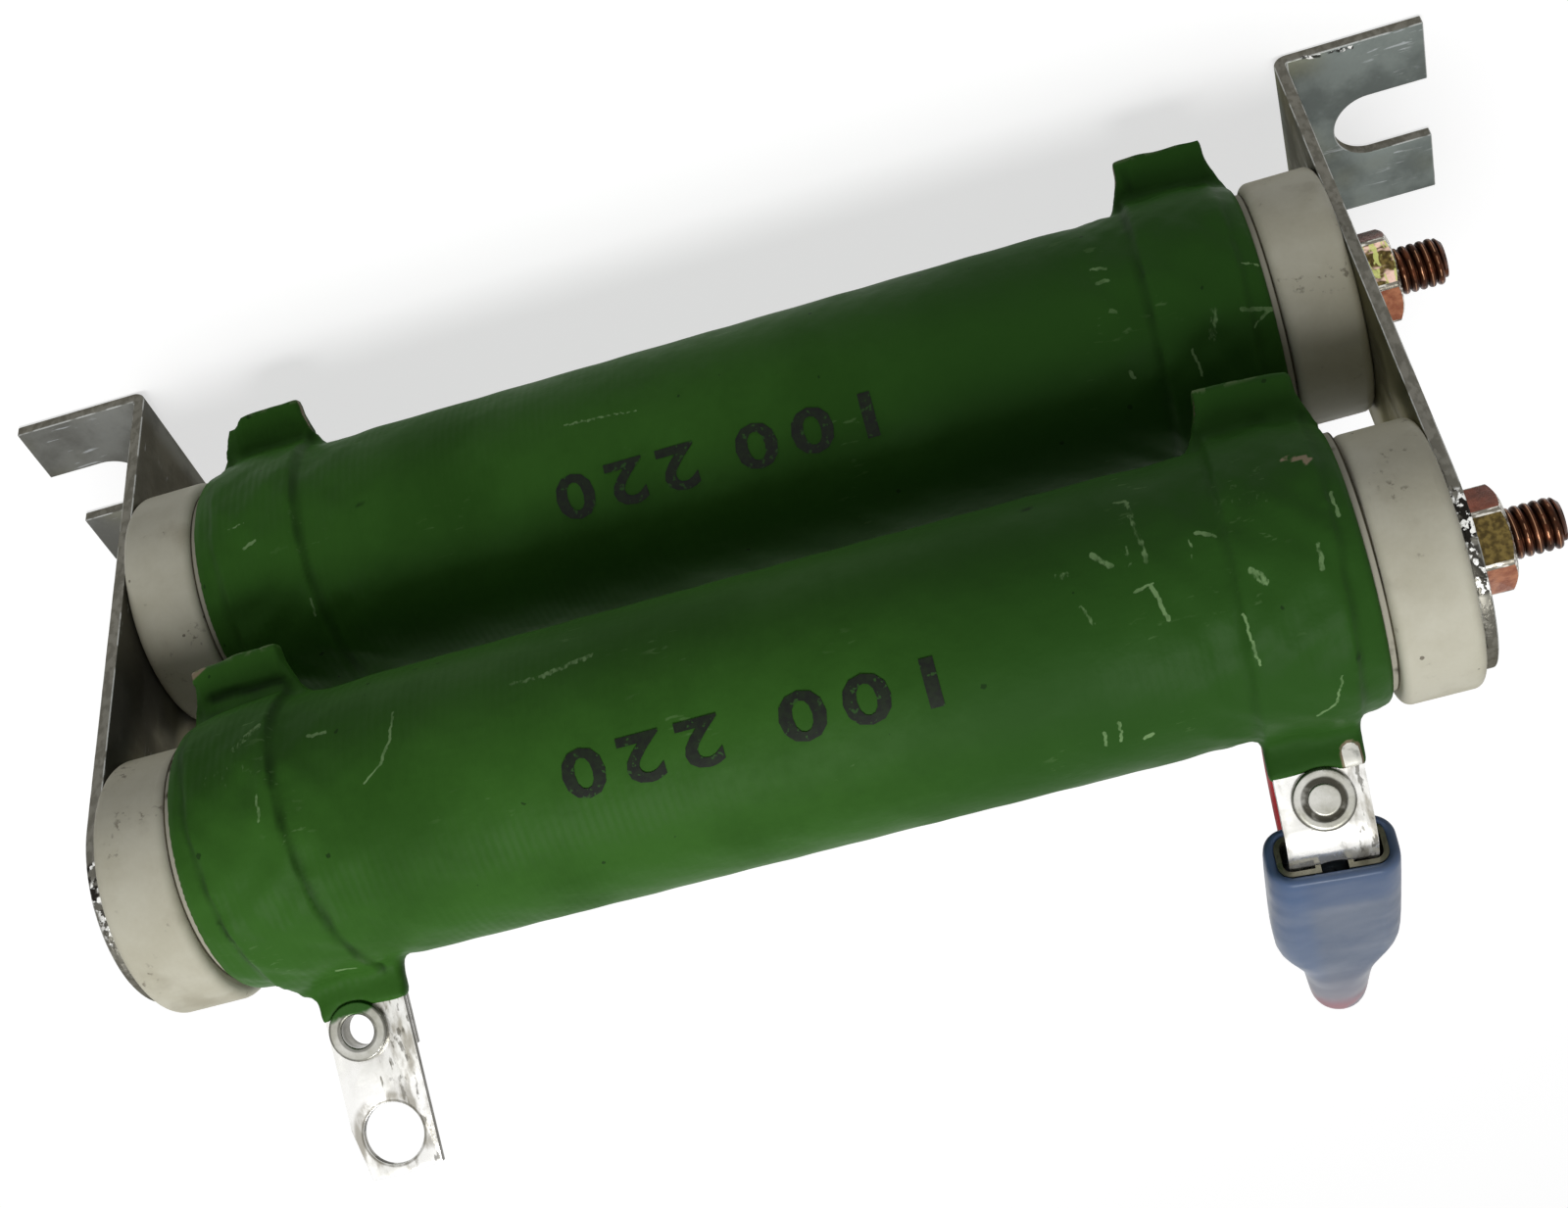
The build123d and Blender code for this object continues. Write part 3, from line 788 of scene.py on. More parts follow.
def eyelet_tin(tier, side):
    """Bright rolled tin with painted shade in its creases and lower down; cement laps over the inner side of
    the upper left one.
    """
    finish = tinned_metal(f"{tier} {side} eyelet tin", (216, 215, 208), (162, 161, 150), TIN_STREAK)
    place = strip_frame(tier, side)
    centre = place @ Vector((EYELET_REACH[side], EYELET_TOP, 0))
    broken = finish.patches(1.2, 0.3, 0.5, to_low=0.3)
    # Painted shade in the rolled creases
    for radius, half_width, strength in EYELET_SHADE_RINGS[side]:
        finish.lay(finish.times(finish.ring(centre, radius, half_width), broken), (44, 42, 34), strength)
    # Painted shade lower down the eyelet
    low_shade = finish.ramp(finish.across(place, 1), EYELET_TOP - 0.15, EYELET_TOP - 0.6)
    finish.lay(low_shade, (92, 89, 76), 0.7)
    if (tier, side) == ("upper", "left"):
        reach = finish.plus(finish.across(place, 0), finish.times(finish.noise(1.5), 1.6))
        outer, inner = (EYELET_REACH[side] - lap for lap in CEMENT_LAP)
        finish.lay(finish.ramp(reach, outer, inner), (48, 86, 34))
    return finish.finished()


# Nuts, bolts and wire

# Heights between which the lower nut's rose and green tints come in
IRIDESCENT_Z = (32.0, 30.0)


def nut_steel():
    """Passivated gold steel, with brick red and salmon on the flats by their direction as a painted
    reflection, and painted highlights on the corners.
    """
    finish = Finish("nut steel", metallic=0.9)
    clouds = finish.start((116, 99, 54), (70, 58, 31), 0.4, 0.12)
    iridescent = finish.ramp(finish.along("Z"), *IRIDESCENT_Z)
    rose = finish.patches(0.8, 0.45, 0.55, detail=2.0, stretch=(0.4, 1.0, 1.0))
    finish.lay(finish.times(iridescent, rose), (252, 214, 196), 0.95)
    green = finish.patches(0.6, 0.55, 0.6, detail=2.0, stretch=(1.0, 0.5, 0.5))
    finish.lay(finish.times(iridescent, green), (206, 212, 128), 0.85)
    brick, _ = finish.mottle((122, 66, 48), (98, 56, 42), 1.5, 0.2)
    salmon, _ = finish.mottle((172, 114, 84), (138, 82, 60), 0.9, 0.2)
    # Painted highlight on the corners, streaked dark; brick red and salmon on the flats by their direction, a
    # painted reflection
    streak = finish.times(finish.patches(0.3, 0.4, 0.52, stretch=(0.3, 1.0, 1.0)), 0.85)
    corner = blend_colour(finish.tree, streak, srgb(226, 222, 212), srgb(88, 82, 68))
    facet_reflection = finish.attribute("facet_reflection")
    for number, colours in enumerate((brick, salmon, corner)):
        finish.lay(finish.ramp(facet_reflection, number + 0.4, number + 0.6), colours)
    finish.roughness(clouds, 0.24, 0.42)
    finish.bump(finish.times(finish.noise(0.5), 0.02))
    return finish.finished()


def bolt_steel():
    """Browned steel, rubbed pale on the thread's crests."""
    finish = Finish("bolt steel", metallic=0.95)
    clouds = finish.start((84, 48, 31), (50, 30, 20), 1.1, 0.2)
    crest = finish.times(finish.attribute("crest"), finish.patches(0.8, 0.3, 0.5))
    finish.lay(finish.ramp(crest, 0.72, 1.0), (206, 160, 124), 0.8)
    finish.roughness(clouds, 0.28, 0.44)
    return finish.finished()


def resistance_wire():
    finish = Finish("resistance wire", roughness=0.4, metallic=0.9)
    finish.start((150, 148, 144), (120, 118, 114), 2.0, 0.3)
    return finish.finished()


# Lead, boots and ink

# Where along Y a boot's rim, its pale part and the lead inside it start and are full
BOOT_RIM_Y = (18.6, 16.2)
BOOT_PALE_Y = (26.0, 34.0)
BOOT_LEAD_Y = (32.5, 35.0)

# How far from its middle a boot's flanks begin and are full
BOOT_FLANK = (3.2, 4.6)


def lead_insulation():
    finish = Finish("lead insulation", gloss=0.35)
    clouds = finish.start((190, 32, 38), (168, 25, 30), 3.0, 0.4)
    finish.roughness(clouds, 0.36, 0.5)
    return finish.finished()


def boot_plastic():
    """Soft translucent sleeve, milky blue, paler where it draws in over the red lead."""
    finish = Finish("boot plastic", gloss=0.4)
    finish.set("Transmission Weight", 0.4)
    finish.set("IOR", 1.4)
    clouds = finish.start((130, 142, 162), (114, 128, 152), 5.0, 0.6)
    reach = finish.along("Y")
    finish.lay(finish.ramp(reach, *BOOT_RIM_Y), (88, 114, 154), 0.7)
    middle = (strip_frame("upper", "right").translation.x + strip_frame("lower", "right").translation.x) / 2
    flank = finish.ramp(finish.absolute(finish.plus(finish.along("X"), -middle)), *BOOT_FLANK)
    finish.lay(flank, (98, 126, 168), 0.5)
    finish.lay(finish.ramp(reach, *BOOT_PALE_Y), (168, 166, 174), 0.8)
    lead = finish.times(finish.ramp(reach, *BOOT_LEAD_Y), finish.patches(3.0, 0.35, 0.5, detail=1.0))
    finish.lay(lead, (200, 134, 142), 0.7)
    finish.roughness(clouds, 0.3, 0.42)
    finish.bump(finish.times(finish.noise(4.2, 1.5, (0.5, 1.0, 1.0)), 0.7))
    return finish.finished()


def stamp_ink():
    """Rubber-stamped ink, thin in places so that the green shows."""
    finish = Finish("stamp ink", roughness=0.55, gloss=0.15)
    finish.start((14, 19, 12), (22, 32, 17), 0.5, 0.12)
    finish.lay(finish.patches(0.45, 0.6, 0.66), (46, 82, 34), 0.8)
    return finish.finished()


# Threaded bolts

THREAD_PITCH = 0.7
THREAD_DEPTH = 0.22
RIDGE_R = 0.32
THREAD_START_X = 49.0
CREST_BAND = 0.02


def thread_tree(material):
    """A round core with a rounded ridge wound round it."""
    tree = bpy.data.node_groups.new("screw thread", "GeometryNodeTree")
    for label in ("Crest radius", "Root radius", "Ridge radius", "Pitch", "Length"):
        tree.interface.new_socket(label, in_out="INPUT", socket_type="NodeSocketFloat").default_value = 1.0
    tree.interface.new_socket("Geometry", in_out="OUTPUT", socket_type="NodeSocketGeometry")
    given = tree.nodes.new("NodeGroupInput").outputs
    middle = calculate(tree, "SUBTRACT", given["Crest radius"], given["Ridge radius"])
    turns = calculate(tree, "DIVIDE", given["Length"], given["Pitch"])
    helix = add_node(tree, "GeometryNodeCurveSpiral",
                     {"Resolution": 28, "Rotations": turns, "Start Radius": middle, "End Radius": middle,
                      "Height": given["Length"]}).outputs[0]
    level = add_node(tree, "GeometryNodeSetCurveNormal", {"Curve": helix}, mode="Z_UP").outputs[0]
    section = add_node(tree, "GeometryNodeCurvePrimitiveCircle",
                       {"Resolution": 12, "Radius": given["Ridge radius"]}, mode="RADIUS").outputs[0]
    ridge = add_node(tree, "GeometryNodeCurveToMesh",
                     {"Curve": level, "Profile Curve": section, "Fill Caps": True}).outputs[0]
    core = add_node(tree, "GeometryNodeMeshCylinder",
                    {"Vertices": 40, "Radius": given["Root radius"], "Depth": given["Length"]}).outputs[0]
    half = calculate(tree, "MULTIPLY", given["Length"], 0.5)
    lift = add_node(tree, "ShaderNodeCombineXYZ", {2: half}).outputs[0]
    core = add_node(tree, "GeometryNodeTransform", {"Geometry": core, "Translation": lift}).outputs[0]
    both = tree.nodes.new("GeometryNodeJoinGeometry")
    tree.links.new(ridge, both.inputs[0])
    tree.links.new(core, both.inputs[0])
    real = add_node(tree, "GeometryNodeRealizeInstances", {0: both.outputs[0]}).outputs[0]
    done = add_node(tree, "GeometryNodeSetMaterial", {"Geometry": real, "Material": material}).outputs[0]
    tree.links.new(done, tree.nodes.new("NodeGroupOutput").inputs[0])
    return tree


def modifier_mesh(name, tree, values):
    """The mesh that a geometry tree makes with these values."""
    carrier = link_mesh(name, bpy.data.meshes.new(name))
    modifier = carrier.modifiers.new("tree", "NODES")
    modifier.node_group = tree
    inputs = [item for item in tree.interface.items_tree if item.in_out == "INPUT"]
    for item in inputs:
        modifier[item.identifier] = values[item.name]
    return settled_mesh(carrier, name)


def thread_mesh(tier, tree):
    """A bolt's thread in place, drawn in to the tapered tip."""
    reach = PLATE_OUTER_X + BOLT_REACH - THREAD_START_X
    values = {"Crest radius": BOLT_R, "Root radius": BOLT_R - THREAD_DEPTH, "Ridge radius": RIDGE_R,
              "Pitch": THREAD_PITCH, "Length": reach}
    thread = modifier_mesh(tier + "_thread", tree, values)
    for vertex in thread.vertices:
        x, y, z = vertex.co
        radius = math.hypot(x, y)
        limit = BOLT_R - max(0.0, z - (reach - BOLT_POINT))
        shrink = min(1.0, limit / radius) if radius > 0 else 1.0
        vertex.co = (-(THREAD_START_X + min(max(z, 0.0), reach)), x * shrink, BOLT_Z[tier] + y * shrink)
    thread.transform(Matrix.Scale(MM, 4))
    return thread


def add_bolt(tier, tree, material):
    """The CAD bolt with its right end threaded down to the tip."""
    work = merged_copy(tier + "_through_bolt")
    cut_away(work, (-THREAD_START_X * MM, 0, 0), (-1, 0, 0))
    work.from_mesh(thread_mesh(tier, tree))
    bmesh.ops.recalc_face_normals(work, faces=work.faces)
    mesh = new_mesh(work, tier + "_bolt", material)
    places = mesh_array(mesh, "co") / MM
    radius = np.hypot(places[:, 1], places[:, 2] - BOLT_Z[tier])
    crest = (radius > BOLT_R - CREST_BAND) & (places[:, 0] < -THREAD_START_X)
    note(mesh, "crest", crest.astype(float))
    shade_smooth(mesh, METAL_CREASE)
    add_piece(tier + "_bolt", mesh, tier + "_through_bolt")


# Nuts

NUT_CORNER = 0.28
NUT_CORE_R = 3.0
FLAT_TURN = 60
CORNER_HIGHLIGHT = 3.0


def is_nut_corner(edge, tier):
    """Whether an edge is one of the six between the flats."""
    return (len(edge.link_faces) == 2
            and all(abs(face.normal.x) < 0.1 for face in edge.link_faces)
            and math.degrees(edge.calc_face_angle()) > 50
            and all(math.hypot(v.co.y, v.co.z - BOLT_Z[tier] * MM) > NUT_CORE_R * MM for v in edge.verts))


def reflection_number(normal, tier):
    """The number of a flat's painted reflection, or the corners' own, for their painted highlight."""
    angle = math.degrees(math.atan2(normal.z, normal.y)) - NUT_TURN[tier]
    flat = round(angle / FLAT_TURN)
    on_flat = abs(normal.x) < 0.1 and abs(angle - FLAT_TURN * flat) < 8
    return float(flat % 3) if on_flat else CORNER_HIGHLIGHT


def add_nut(tier, material):
    """The CAD nut with worn corners; each flat is numbered by its direction, for its painted reflection."""
    work = merged_copy(tier + "_nut")
    bmesh.ops.dissolve_limit(work, angle_limit=math.radians(1.0), verts=work.verts, edges=work.edges)
    corners = [edge for edge in work.edges if is_nut_corner(edge, tier)]
    bmesh.ops.bevel(work, geom=corners, offset=NUT_CORNER * MM, segments=2, profile=0.5, affect="EDGES")
    mesh = new_mesh(work, tier + "_worn_nut", material)
    note(mesh, "facet_reflection", [reflection_number(face.normal, tier) for face in mesh.polygons], "FACE")
    shade_smooth(mesh, NUT_CREASE)
    add_piece(tier + "_worn_nut", mesh, tier + "_nut")


# Coats, softened as a dipped skin is

VOXEL = 0.36
TUBE_STUB = 43.9
COAT_SMOOTHING = 8
WEB_FOOT = 9.5
WEB_SHOULDER = 10.8
WEB_TIP = EAR_REACH - 0.6
WEB_WIDTH = 1.3
WEB_THICKNESS = 1.2


def add_in(work, other):
    """Puts one working mesh into another and frees it."""
    carrier = bpy.data.meshes.new("carrier")
    other.to_mesh(carrier)
    other.free()
    work.from_mesh(carrier)
    bpy.data.meshes.remove(carrier)


def ear_web(tier, side):
    """Cement that fills the corners between an ear and its ring."""
    work = bmesh.new()
    tip = STRIP_WIDTH / 2
    base = tip + WEB_WIDTH
    outline = [(-WEB_FOOT, -base), (-WEB_SHOULDER, -base), (-WEB_TIP, -tip),
               (-WEB_TIP, tip), (-WEB_SHOULDER, base), (-WEB_FOOT, base)]
    rings = [[work.verts.new((x, y, z)) for x, z in outline] for y in (-WEB_THICKNESS / 2, WEB_THICKNESS / 2)]
    work.faces.new(rings[0])
    work.faces.new(rings[1][::-1])
    for i in range(len(outline)):
        j = (i + 1) % len(outline)
        work.faces.new((rings[0][j], rings[0][i], rings[1][i], rings[1][j]))
    bmesh.ops.recalc_face_normals(work, faces=work.faces)
    work.transform(in_metres(strip_frame(tier, side)))
    return work


def coat_mesh(tier):
    """The coat and all that it wraps as one body, rounded off as wet cement leaves it."""
    work = merged_copy(tier + "_coating")
    for side in SIDES:
        covered = merged_copy(f"{tier}_{side}_terminal_strip")
        place = in_metres(strip_frame(tier, side))
        along = (place.to_3x3() @ Vector((1, 0, 0))).normalized()
        cut_away(covered, place @ Vector((COLLAR_REACH - 0.1, 0, 0)), along)
        add_in(work, covered)
        add_in(work, ear_web(tier, side))
    for node in ("_ceramic_tube", "_winding"):
        inner = merged_copy(tier + node)
        for turn in (-1, 1):
            cut_away(inner, (turn * TUBE_STUB * MM, 0, 0), (turn, 0, 0))
        add_in(work, inner)
    mesh = bpy.data.meshes.new(tier + "_coat")
    work.to_mesh(mesh)
    work.free()
    carrier = link_mesh(tier + "_coat_carrier", mesh)
    remesh = carrier.modifiers.new("remesh", "REMESH")
    remesh.mode = "VOXEL"
    remesh.voxel_size = VOXEL * MM
    remesh.adaptivity = 0.0
    smooth = carrier.modifiers.new("smooth", "SMOOTH")
    smooth.factor = 0.5
    smooth.iterations = COAT_SMOOTHING
    return settled_mesh(carrier, tier + "_coat")


# Grooves, dents and marks on the coats

PAD_EDGE = 0.8
COAT_END = 44.2
END_STRETCH = 0.3
DENT_START = 29.0
DENT_FADE = 4.0
DENT_SWELL = 0.11
DENT_LUMP = 0.04
DENT_FLOOR = 0.2

# Waves along the marks' edges: height, angle to the millimetre, start
WAVERS = [(0.04, 4.1, 0.0), (0.03, 9.7, 1.0)]

# Grooves round a strip's ring: how far across the strip, half width, depth, darkness of the painted shade in
# them
RING_CREASES = {
    ("upper", "left"): [(-3.6, 0.45, 0.16, 0.75), (3.8, 0.4, 0.12, 0.6)],
    ("upper", "right"): [(3.9, 0.5, 0.08, 0.2), (-3.8, 0.4, 0.08, 0.3)],
    ("lower", "left"): [(-3.9, 0.45, 0.14, 0.65), (3.8, 0.5, 0.08, 0.3)],
    ("lower", "right"): [(3.9, 0.45, 0.12, 0.55), (-3.8, 0.4, 0.08, 0.3)],
}

# Grooves where cement didn't close over the folds of an ear: two ends, half width, depth, darkness of the
# painted shade in them
EAR_CREASES = {
    ("upper", "left"): [
        ((-12.0, 1.0, -3.3), (-12.6, 1.0, 2.5), 0.55, 0.25, 1.3),
        ((-11.3, 1.6, -3.0), (-11.3, 1.6, 3.4), 0.5, 0.15, 0.5),
    ],
    ("upper", "right"): [
        ((-11.6, 1.0, 3.4), (-11.9, 1.0, -1.0), 0.6, 0.15, 0.3),
        ((-14.6, 0.2, 3.8), (-12.0, 0.2, 4.3), 0.5, 0.3, 0.7),
    ],
    ("lower", "left"): [
        ((-11.7, 1.0, -3.0), (-11.9, 1.0, 2.0), 0.7, 0.2, 0.5),
        ((-15.0, 0.0, -3.9), (-12.0, 0.0, -4.2), 0.5, 0.2, 0.9),
    ],
    ("lower", "right"): [
        ((-14.0, 1.0, 2.9), (-12.4, 1.0, 2.7), 0.5, 0.1, 0.6),
        ((-12.0, 1.0, 3.6), (-11.7, 1.0, -3.6), 0.6, 0.2, 0.5),
    ],
}


def ring_gap(local, across):
    """How far each point lies from a circle round the tube, on the coat."""
    from_axis = np.hypot(local[:, 0], local[:, 1])
    return np.hypot(np.maximum(abs(from_axis - COAT_R) - PAD_EDGE, 0.0), local[:, 2] - across)


def segment_gap(local, start, end):
    """How far each point lies from a straight line between two places."""
    start, along = np.array(start), np.subtract(end, start)
    share = np.clip((local - start) @ along / (along @ along), 0.0, 1.0)
    return np.linalg.norm(local - start - share[:, None] * along, axis=1)


def within(gap, half_width):
    """One near a mark's middle line, falling to nought at its edge."""
    return np.clip(2 * (1 - gap / half_width), 0.0, 1.0)


def skin_places(mesh, tier):
    """Each point of the coat as its reach along the tube and its way round it, in millimetres."""
    places = mesh_array(mesh, "co") / MM
    y, z = TUBE_AXIS[tier]
    way_round = np.arctan2(places[:, 2] - z, places[:, 1] - y) % math.tau * COAT_R
    return np.column_stack([places[:, 0], way_round])


def skin_marks(marks):
    """The ends, half width and strength of each mark, on the coat laid flat."""
    for *ends, width, strength in marks:
        start, end = ([x, math.radians(angle) * COAT_R] for x, angle in ends)
        yield start, end, width / 2, strength


def refine_along(mesh, tier):
    """Splits the coat's faces along the scratches, which are finer than the faces are."""
    places = skin_places(mesh, tier)
    near = np.zeros(len(places), bool)
    for start, end, half_width, _ in skin_marks(SCRATCHES[tier]):
        near |= segment_gap(places, start, end) < half_width + VOXEL
    work = bmesh.new()
    work.from_mesh(mesh)
    edges = [edge for edge in work.edges if all(near[vertex.index] for vertex in edge.verts)]
    bmesh.ops.subdivide_edges(work, edges=edges, cuts=2, use_grid_fill=True)
    work.to_mesh(mesh)
    work.free()


def mark_strengths(mesh, tier, marks):
    """How strongly each point is marked, by marks whose edges waver a little."""
    places = skin_places(mesh, tier)
    swapped = places[:, ::-1]
    for height, rate, start in WAVERS:
        places = places + height * np.sin(swapped * rate + start)
    total = np.zeros(len(places))
    for start, end, half_width, strength in skin_marks(marks):
        total = np.maximum(total, within(segment_gap(places, start, end), half_width) * strength)
    return total


def dents(places, normals, tier):
    """How deep the cement dips at each point: a little on the tube, more by its ends, not on the ears."""
    x, y, z = places.T
    radial = places[:, 1:] - TUBE_AXIS[tier]
    outwards = (normals[:, 1:] * radial).sum(axis=1) / np.linalg.norm(radial, axis=1)
    swell = np.sin(x * 1.1 + 1.7 * np.sin(y * 0.5)) * np.sin(y * 0.7 + z * 0.9 + 0.8 * np.sin(x * 0.6))
    lumps = np.sin(x * 2.3 + y * 1.1) * np.sin(z * 1.9 - y * 1.4 + 1.3)
    share = np.clip((abs(x) - DENT_START) / DENT_FADE, 0.0, 1.0)
    share = (DENT_FLOOR + (1 - DENT_FLOOR) * share) * np.clip(outwards, 0.0, 1.0) ** 2
    return (DENT_SWELL * (1 + swell) + DENT_LUMP * (1 + lumps)) * share


def wear_coat(mesh, tier):
    """Presses dents and grooves into the coat, and notes for each point the painted shade in the grooves, its
    dark spots, and how scratched or bare it is.
    """
    refine_along(mesh, tier)
    places = mesh_array(mesh, "co") / MM
    normals = mesh_array(mesh, "normal")
    x, y, z = places.T
    wave = 0.75 + 0.35 * np.sin(x * 1.9) * np.sin(y * 1.5 + z * 1.1)
    painted_shade_and_spots = mark_strengths(mesh, tier, DARK_SPOTS[tier])
    bare = mark_strengths(mesh, tier, CHIPS[tier])
    scratched = mark_strengths(mesh, tier, SCRATCHES[tier])
    moved = places - normals * dents(places, normals, tier)[:, None]
    for side in SIDES:
        inverse = np.array(strip_frame(tier, side).inverted())
        local = places @ inverse[:3, :3].T + inverse[:3, 3]
        grooves = [(ring_gap(local, across), *rest) for across, *rest in RING_CREASES[tier, side]]
        grooves += [(segment_gap(local, start, end), *rest) for start, end, *rest in EAR_CREASES[tier, side]]
        for gap, half_width, depth, darkness in grooves:
            fall = np.clip(1 - (gap / half_width) ** 2, 0.0, 1.0)
            moved -= normals * (fall ** 2 * depth)[:, None]
            # Painted shade in the groove
            painted_shade_and_spots = np.maximum(painted_shade_and_spots, fall * darkness * wave)
        for start, end, width, shine in BARE_PLACES[tier, side]:
            bare = np.maximum(bare, within(segment_gap(local, start, end), width / 2) * shine)
    moved[:, 0] += np.sign(moved[:, 0]) * END_STRETCH * np.clip(abs(moved[:, 0]) - COAT_END + 1, 0, 1)
    mesh.vertices.foreach_set("co", (moved * MM).ravel())
    note(mesh, "scratch", scratched)
    note(mesh, "groove_shade_and_dark_spots", painted_shade_and_spots)
    note(mesh, "bare", bare)
    mesh.update()


def add_coat(tier):
    mesh = coat_mesh(tier)
    wear_coat(mesh, tier)
    mesh.materials.clear()
    mesh.materials.append(green_coat(tier))
    shade_smooth(mesh, SOFT_CREASE)
    add_piece(tier + "_coat", mesh, tier + "_coating")


# Boots: reach from the mouth, half width, half height and corner radius at each station

BOOT_WALL = 0.8
BOOT_INNER_CORNER = 0.2
BOOT_SEAM_GAP = 1e-7
BOOT_STATIONS = [
    (0.0, 4.84, 2.5, 1.85),
    (0.35, 4.95, 2.6, 1.95),
    (4.0, 4.95, 2.6, 1.95),
    (9.0, 4.93, 2.58, 1.95),
    (11.9, 4.85, 2.55, 1.95),
    (13.2, 4.35, 2.55, 2.0),
    (15.4, 3.25, 2.5, 2.2),
    (16.6, 2.86, 2.5, 2.25),
    (18.5, 2.6, 2.4, 2.3),
    (20.6, 2.4, 2.3, 2.25),
    (21.8, 2.24, 2.2, 2.18),
    (22.1, 2.1, 2.1, 2.08),
]
CORNER_POINTS = 10


def rounded_ring(half_width, half_height, corner):
    """Points round a rounded rectangle, corner by corner."""
    points = []
    for quarter in range(4):
        u = (half_width - corner) * (1 if quarter in (0, 3) else -1)
        v = (half_height - corner) * (1 if quarter in (0, 1) else -1)
        for step in range(CORNER_POINTS):
            angle = math.pi / 2 * (quarter + step / (CORNER_POINTS - 1))
            points.append((u + corner * math.cos(angle), v + corner * math.sin(angle)))
    return points


def add_boot(tier, material):
    """A flat sleeve with an open mouth that draws in to a round neck."""
    work = bmesh.new()
    loops = []
    inside = [(x, w - BOOT_WALL, h - BOOT_WALL, max(BOOT_INNER_CORNER, c - BOOT_WALL))
              for x, w, h, c in BOOT_STATIONS]
    for x, half_width, half_height, corner in BOOT_STATIONS + inside[::-1]:
        ring = rounded_ring(half_width, half_height, corner)
        loops.append([work.verts.new((MOUTH + x, v, -u)) for u, v in ring])
    loops.append(loops[0])
    for near, far in zip(loops, loops[1:]):
        for i in range(len(near)):
            j = (i + 1) % len(near)
            work.faces.new((near[i], near[j], far[j], far[i]))
    work.transform(in_metres(terminal_frame(tier)))
    bmesh.ops.remove_doubles(work, verts=work.verts, dist=BOOT_SEAM_GAP)
    bmesh.ops.recalc_face_normals(work, faces=work.faces)
    carrier = link_mesh(tier + "_sleeve_carrier", new_mesh(work, tier + "_sleeve", material))
    soften = carrier.modifiers.new("subdivision", "SUBSURF")
    soften.levels = 1
    soften.render_levels = 1
    mesh = settled_mesh(carrier, tier + "_sleeve")
    shade_smooth(mesh, SOFT_CREASE)
    return add_piece(tier + "_sleeve", mesh, tier + "_boot")


# Stamped numbers: each row's text, the middle of its length and its length

STAMP_R = 10.93
STAMP_DEPTH = 0.03
STAMP_HEIGHT = 3.7
STAMP_BOLDNESS = 0.022
STAMP_MIDDLE_ANGLE = 138.5
STAMP_SLICES = 9
STAMP_SEAM_GAP = 1e-5
STAMPS = {
    "upper": [("100", -8.0, 11.7), ("220", 8.1, 12.0)],
    "lower": [("100", -7.2, 11.4), ("220", 7.6, 11.8)],
}


def stamp_mesh(name, text, middle_x, width):
    """A row of digits laid flat, in slices narrow enough to wrap round the tube."""
    curve = bpy.data.curves.new(name, "FONT")
    curve.body = text
    curve.extrude = STAMP_DEPTH / 2
    curve.offset = STAMP_BOLDNESS
    curve.resolution_u = 3
    curve.space_character = 1.3
    carrier = bpy.data.objects.new(name, curve)
    scene.collection.objects.link(carrier)
    mesh = settled_mesh(carrier, name)
    work = bmesh.new()
    work.from_mesh(mesh)
    bmesh.ops.remove_doubles(work, verts=work.verts, dist=STAMP_SEAM_GAP)
    xs = [v.co.x for v in work.verts]
    ys = [v.co.y for v in work.verts]
    for vertex in work.verts:
        vertex.co.x = middle_x + ((vertex.co.x - min(xs)) / (max(xs) - min(xs)) - 0.5) * width
        vertex.co.y = ((vertex.co.y - min(ys)) / (max(ys) - min(ys)) - 0.5) * STAMP_HEIGHT
    for step in range(1, STAMP_SLICES):
        height = (step / STAMP_SLICES - 0.5) * STAMP_HEIGHT
        everything = [*work.verts, *work.edges, *work.faces]
        bmesh.ops.bisect_plane(work, geom=everything, plane_co=(0, height, 0), plane_no=(0, 1, 0))
    work.to_mesh(mesh)
    work.free()
    return mesh


def add_stamp(tier, material):
    """The tube's numbers as one thin piece of ink."""
    y, z = TUBE_AXIS[tier]
    work = bmesh.new()
    for text, middle_x, width in STAMPS[tier]:
        work.from_mesh(stamp_mesh(tier + "_digits", text, middle_x, width))
    for vertex in work.verts:
        angle = math.radians(STAMP_MIDDLE_ANGLE) - vertex.co.y / STAMP_R
        radius = STAMP_R + vertex.co.z
        vertex.co = Vector((vertex.co.x, y + radius * math.cos(angle), z + radius * math.sin(angle))) * MM
    bmesh.ops.recalc_face_normals(work, faces=work.faces)
    stamp = link_mesh(tier + "_stamp", new_mesh(work, tier + "_stamp", material))
    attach(stamp, "root")


# Sheet metal with its sharp edges taken off

SHEET_EDGE = 0.09
CUT_DEPTH = 1.7
RAY_LIFT = 1e-6


def cut_edges(mesh, thickness):
    """One for each face that is a cut edge, where the metal behind is deeper than the sheet is thick."""
    tree = BVHTree.FromPolygons([v.co for v in mesh.vertices], [face.vertices for face in mesh.polygons])
    mesh.calc_loop_triangles()
    depth = CUT_DEPTH * thickness * MM
    edges = [0.0] * len(mesh.polygons)
    for triangle in mesh.loop_triangles:
        centre = sum((mesh.vertices[i].co for i in triangle.vertices), Vector()) / 3
        inward = -triangle.normal
        start = centre + inward * RAY_LIFT
        if triangle.area > 0 and tree.ray_cast(start, inward, depth)[0] is None:
            edges[triangle.polygon_index] = 1.0
    return edges


def mean_width(mesh, face):
    """How wide a long face is, in millimetres."""
    corners = [mesh.vertices[i].co for i in face.vertices]
    way_round = sum((near - far).length for near, far in zip(corners, corners[1:] + corners[:1]))
    return 2 * face.area / way_round / MM


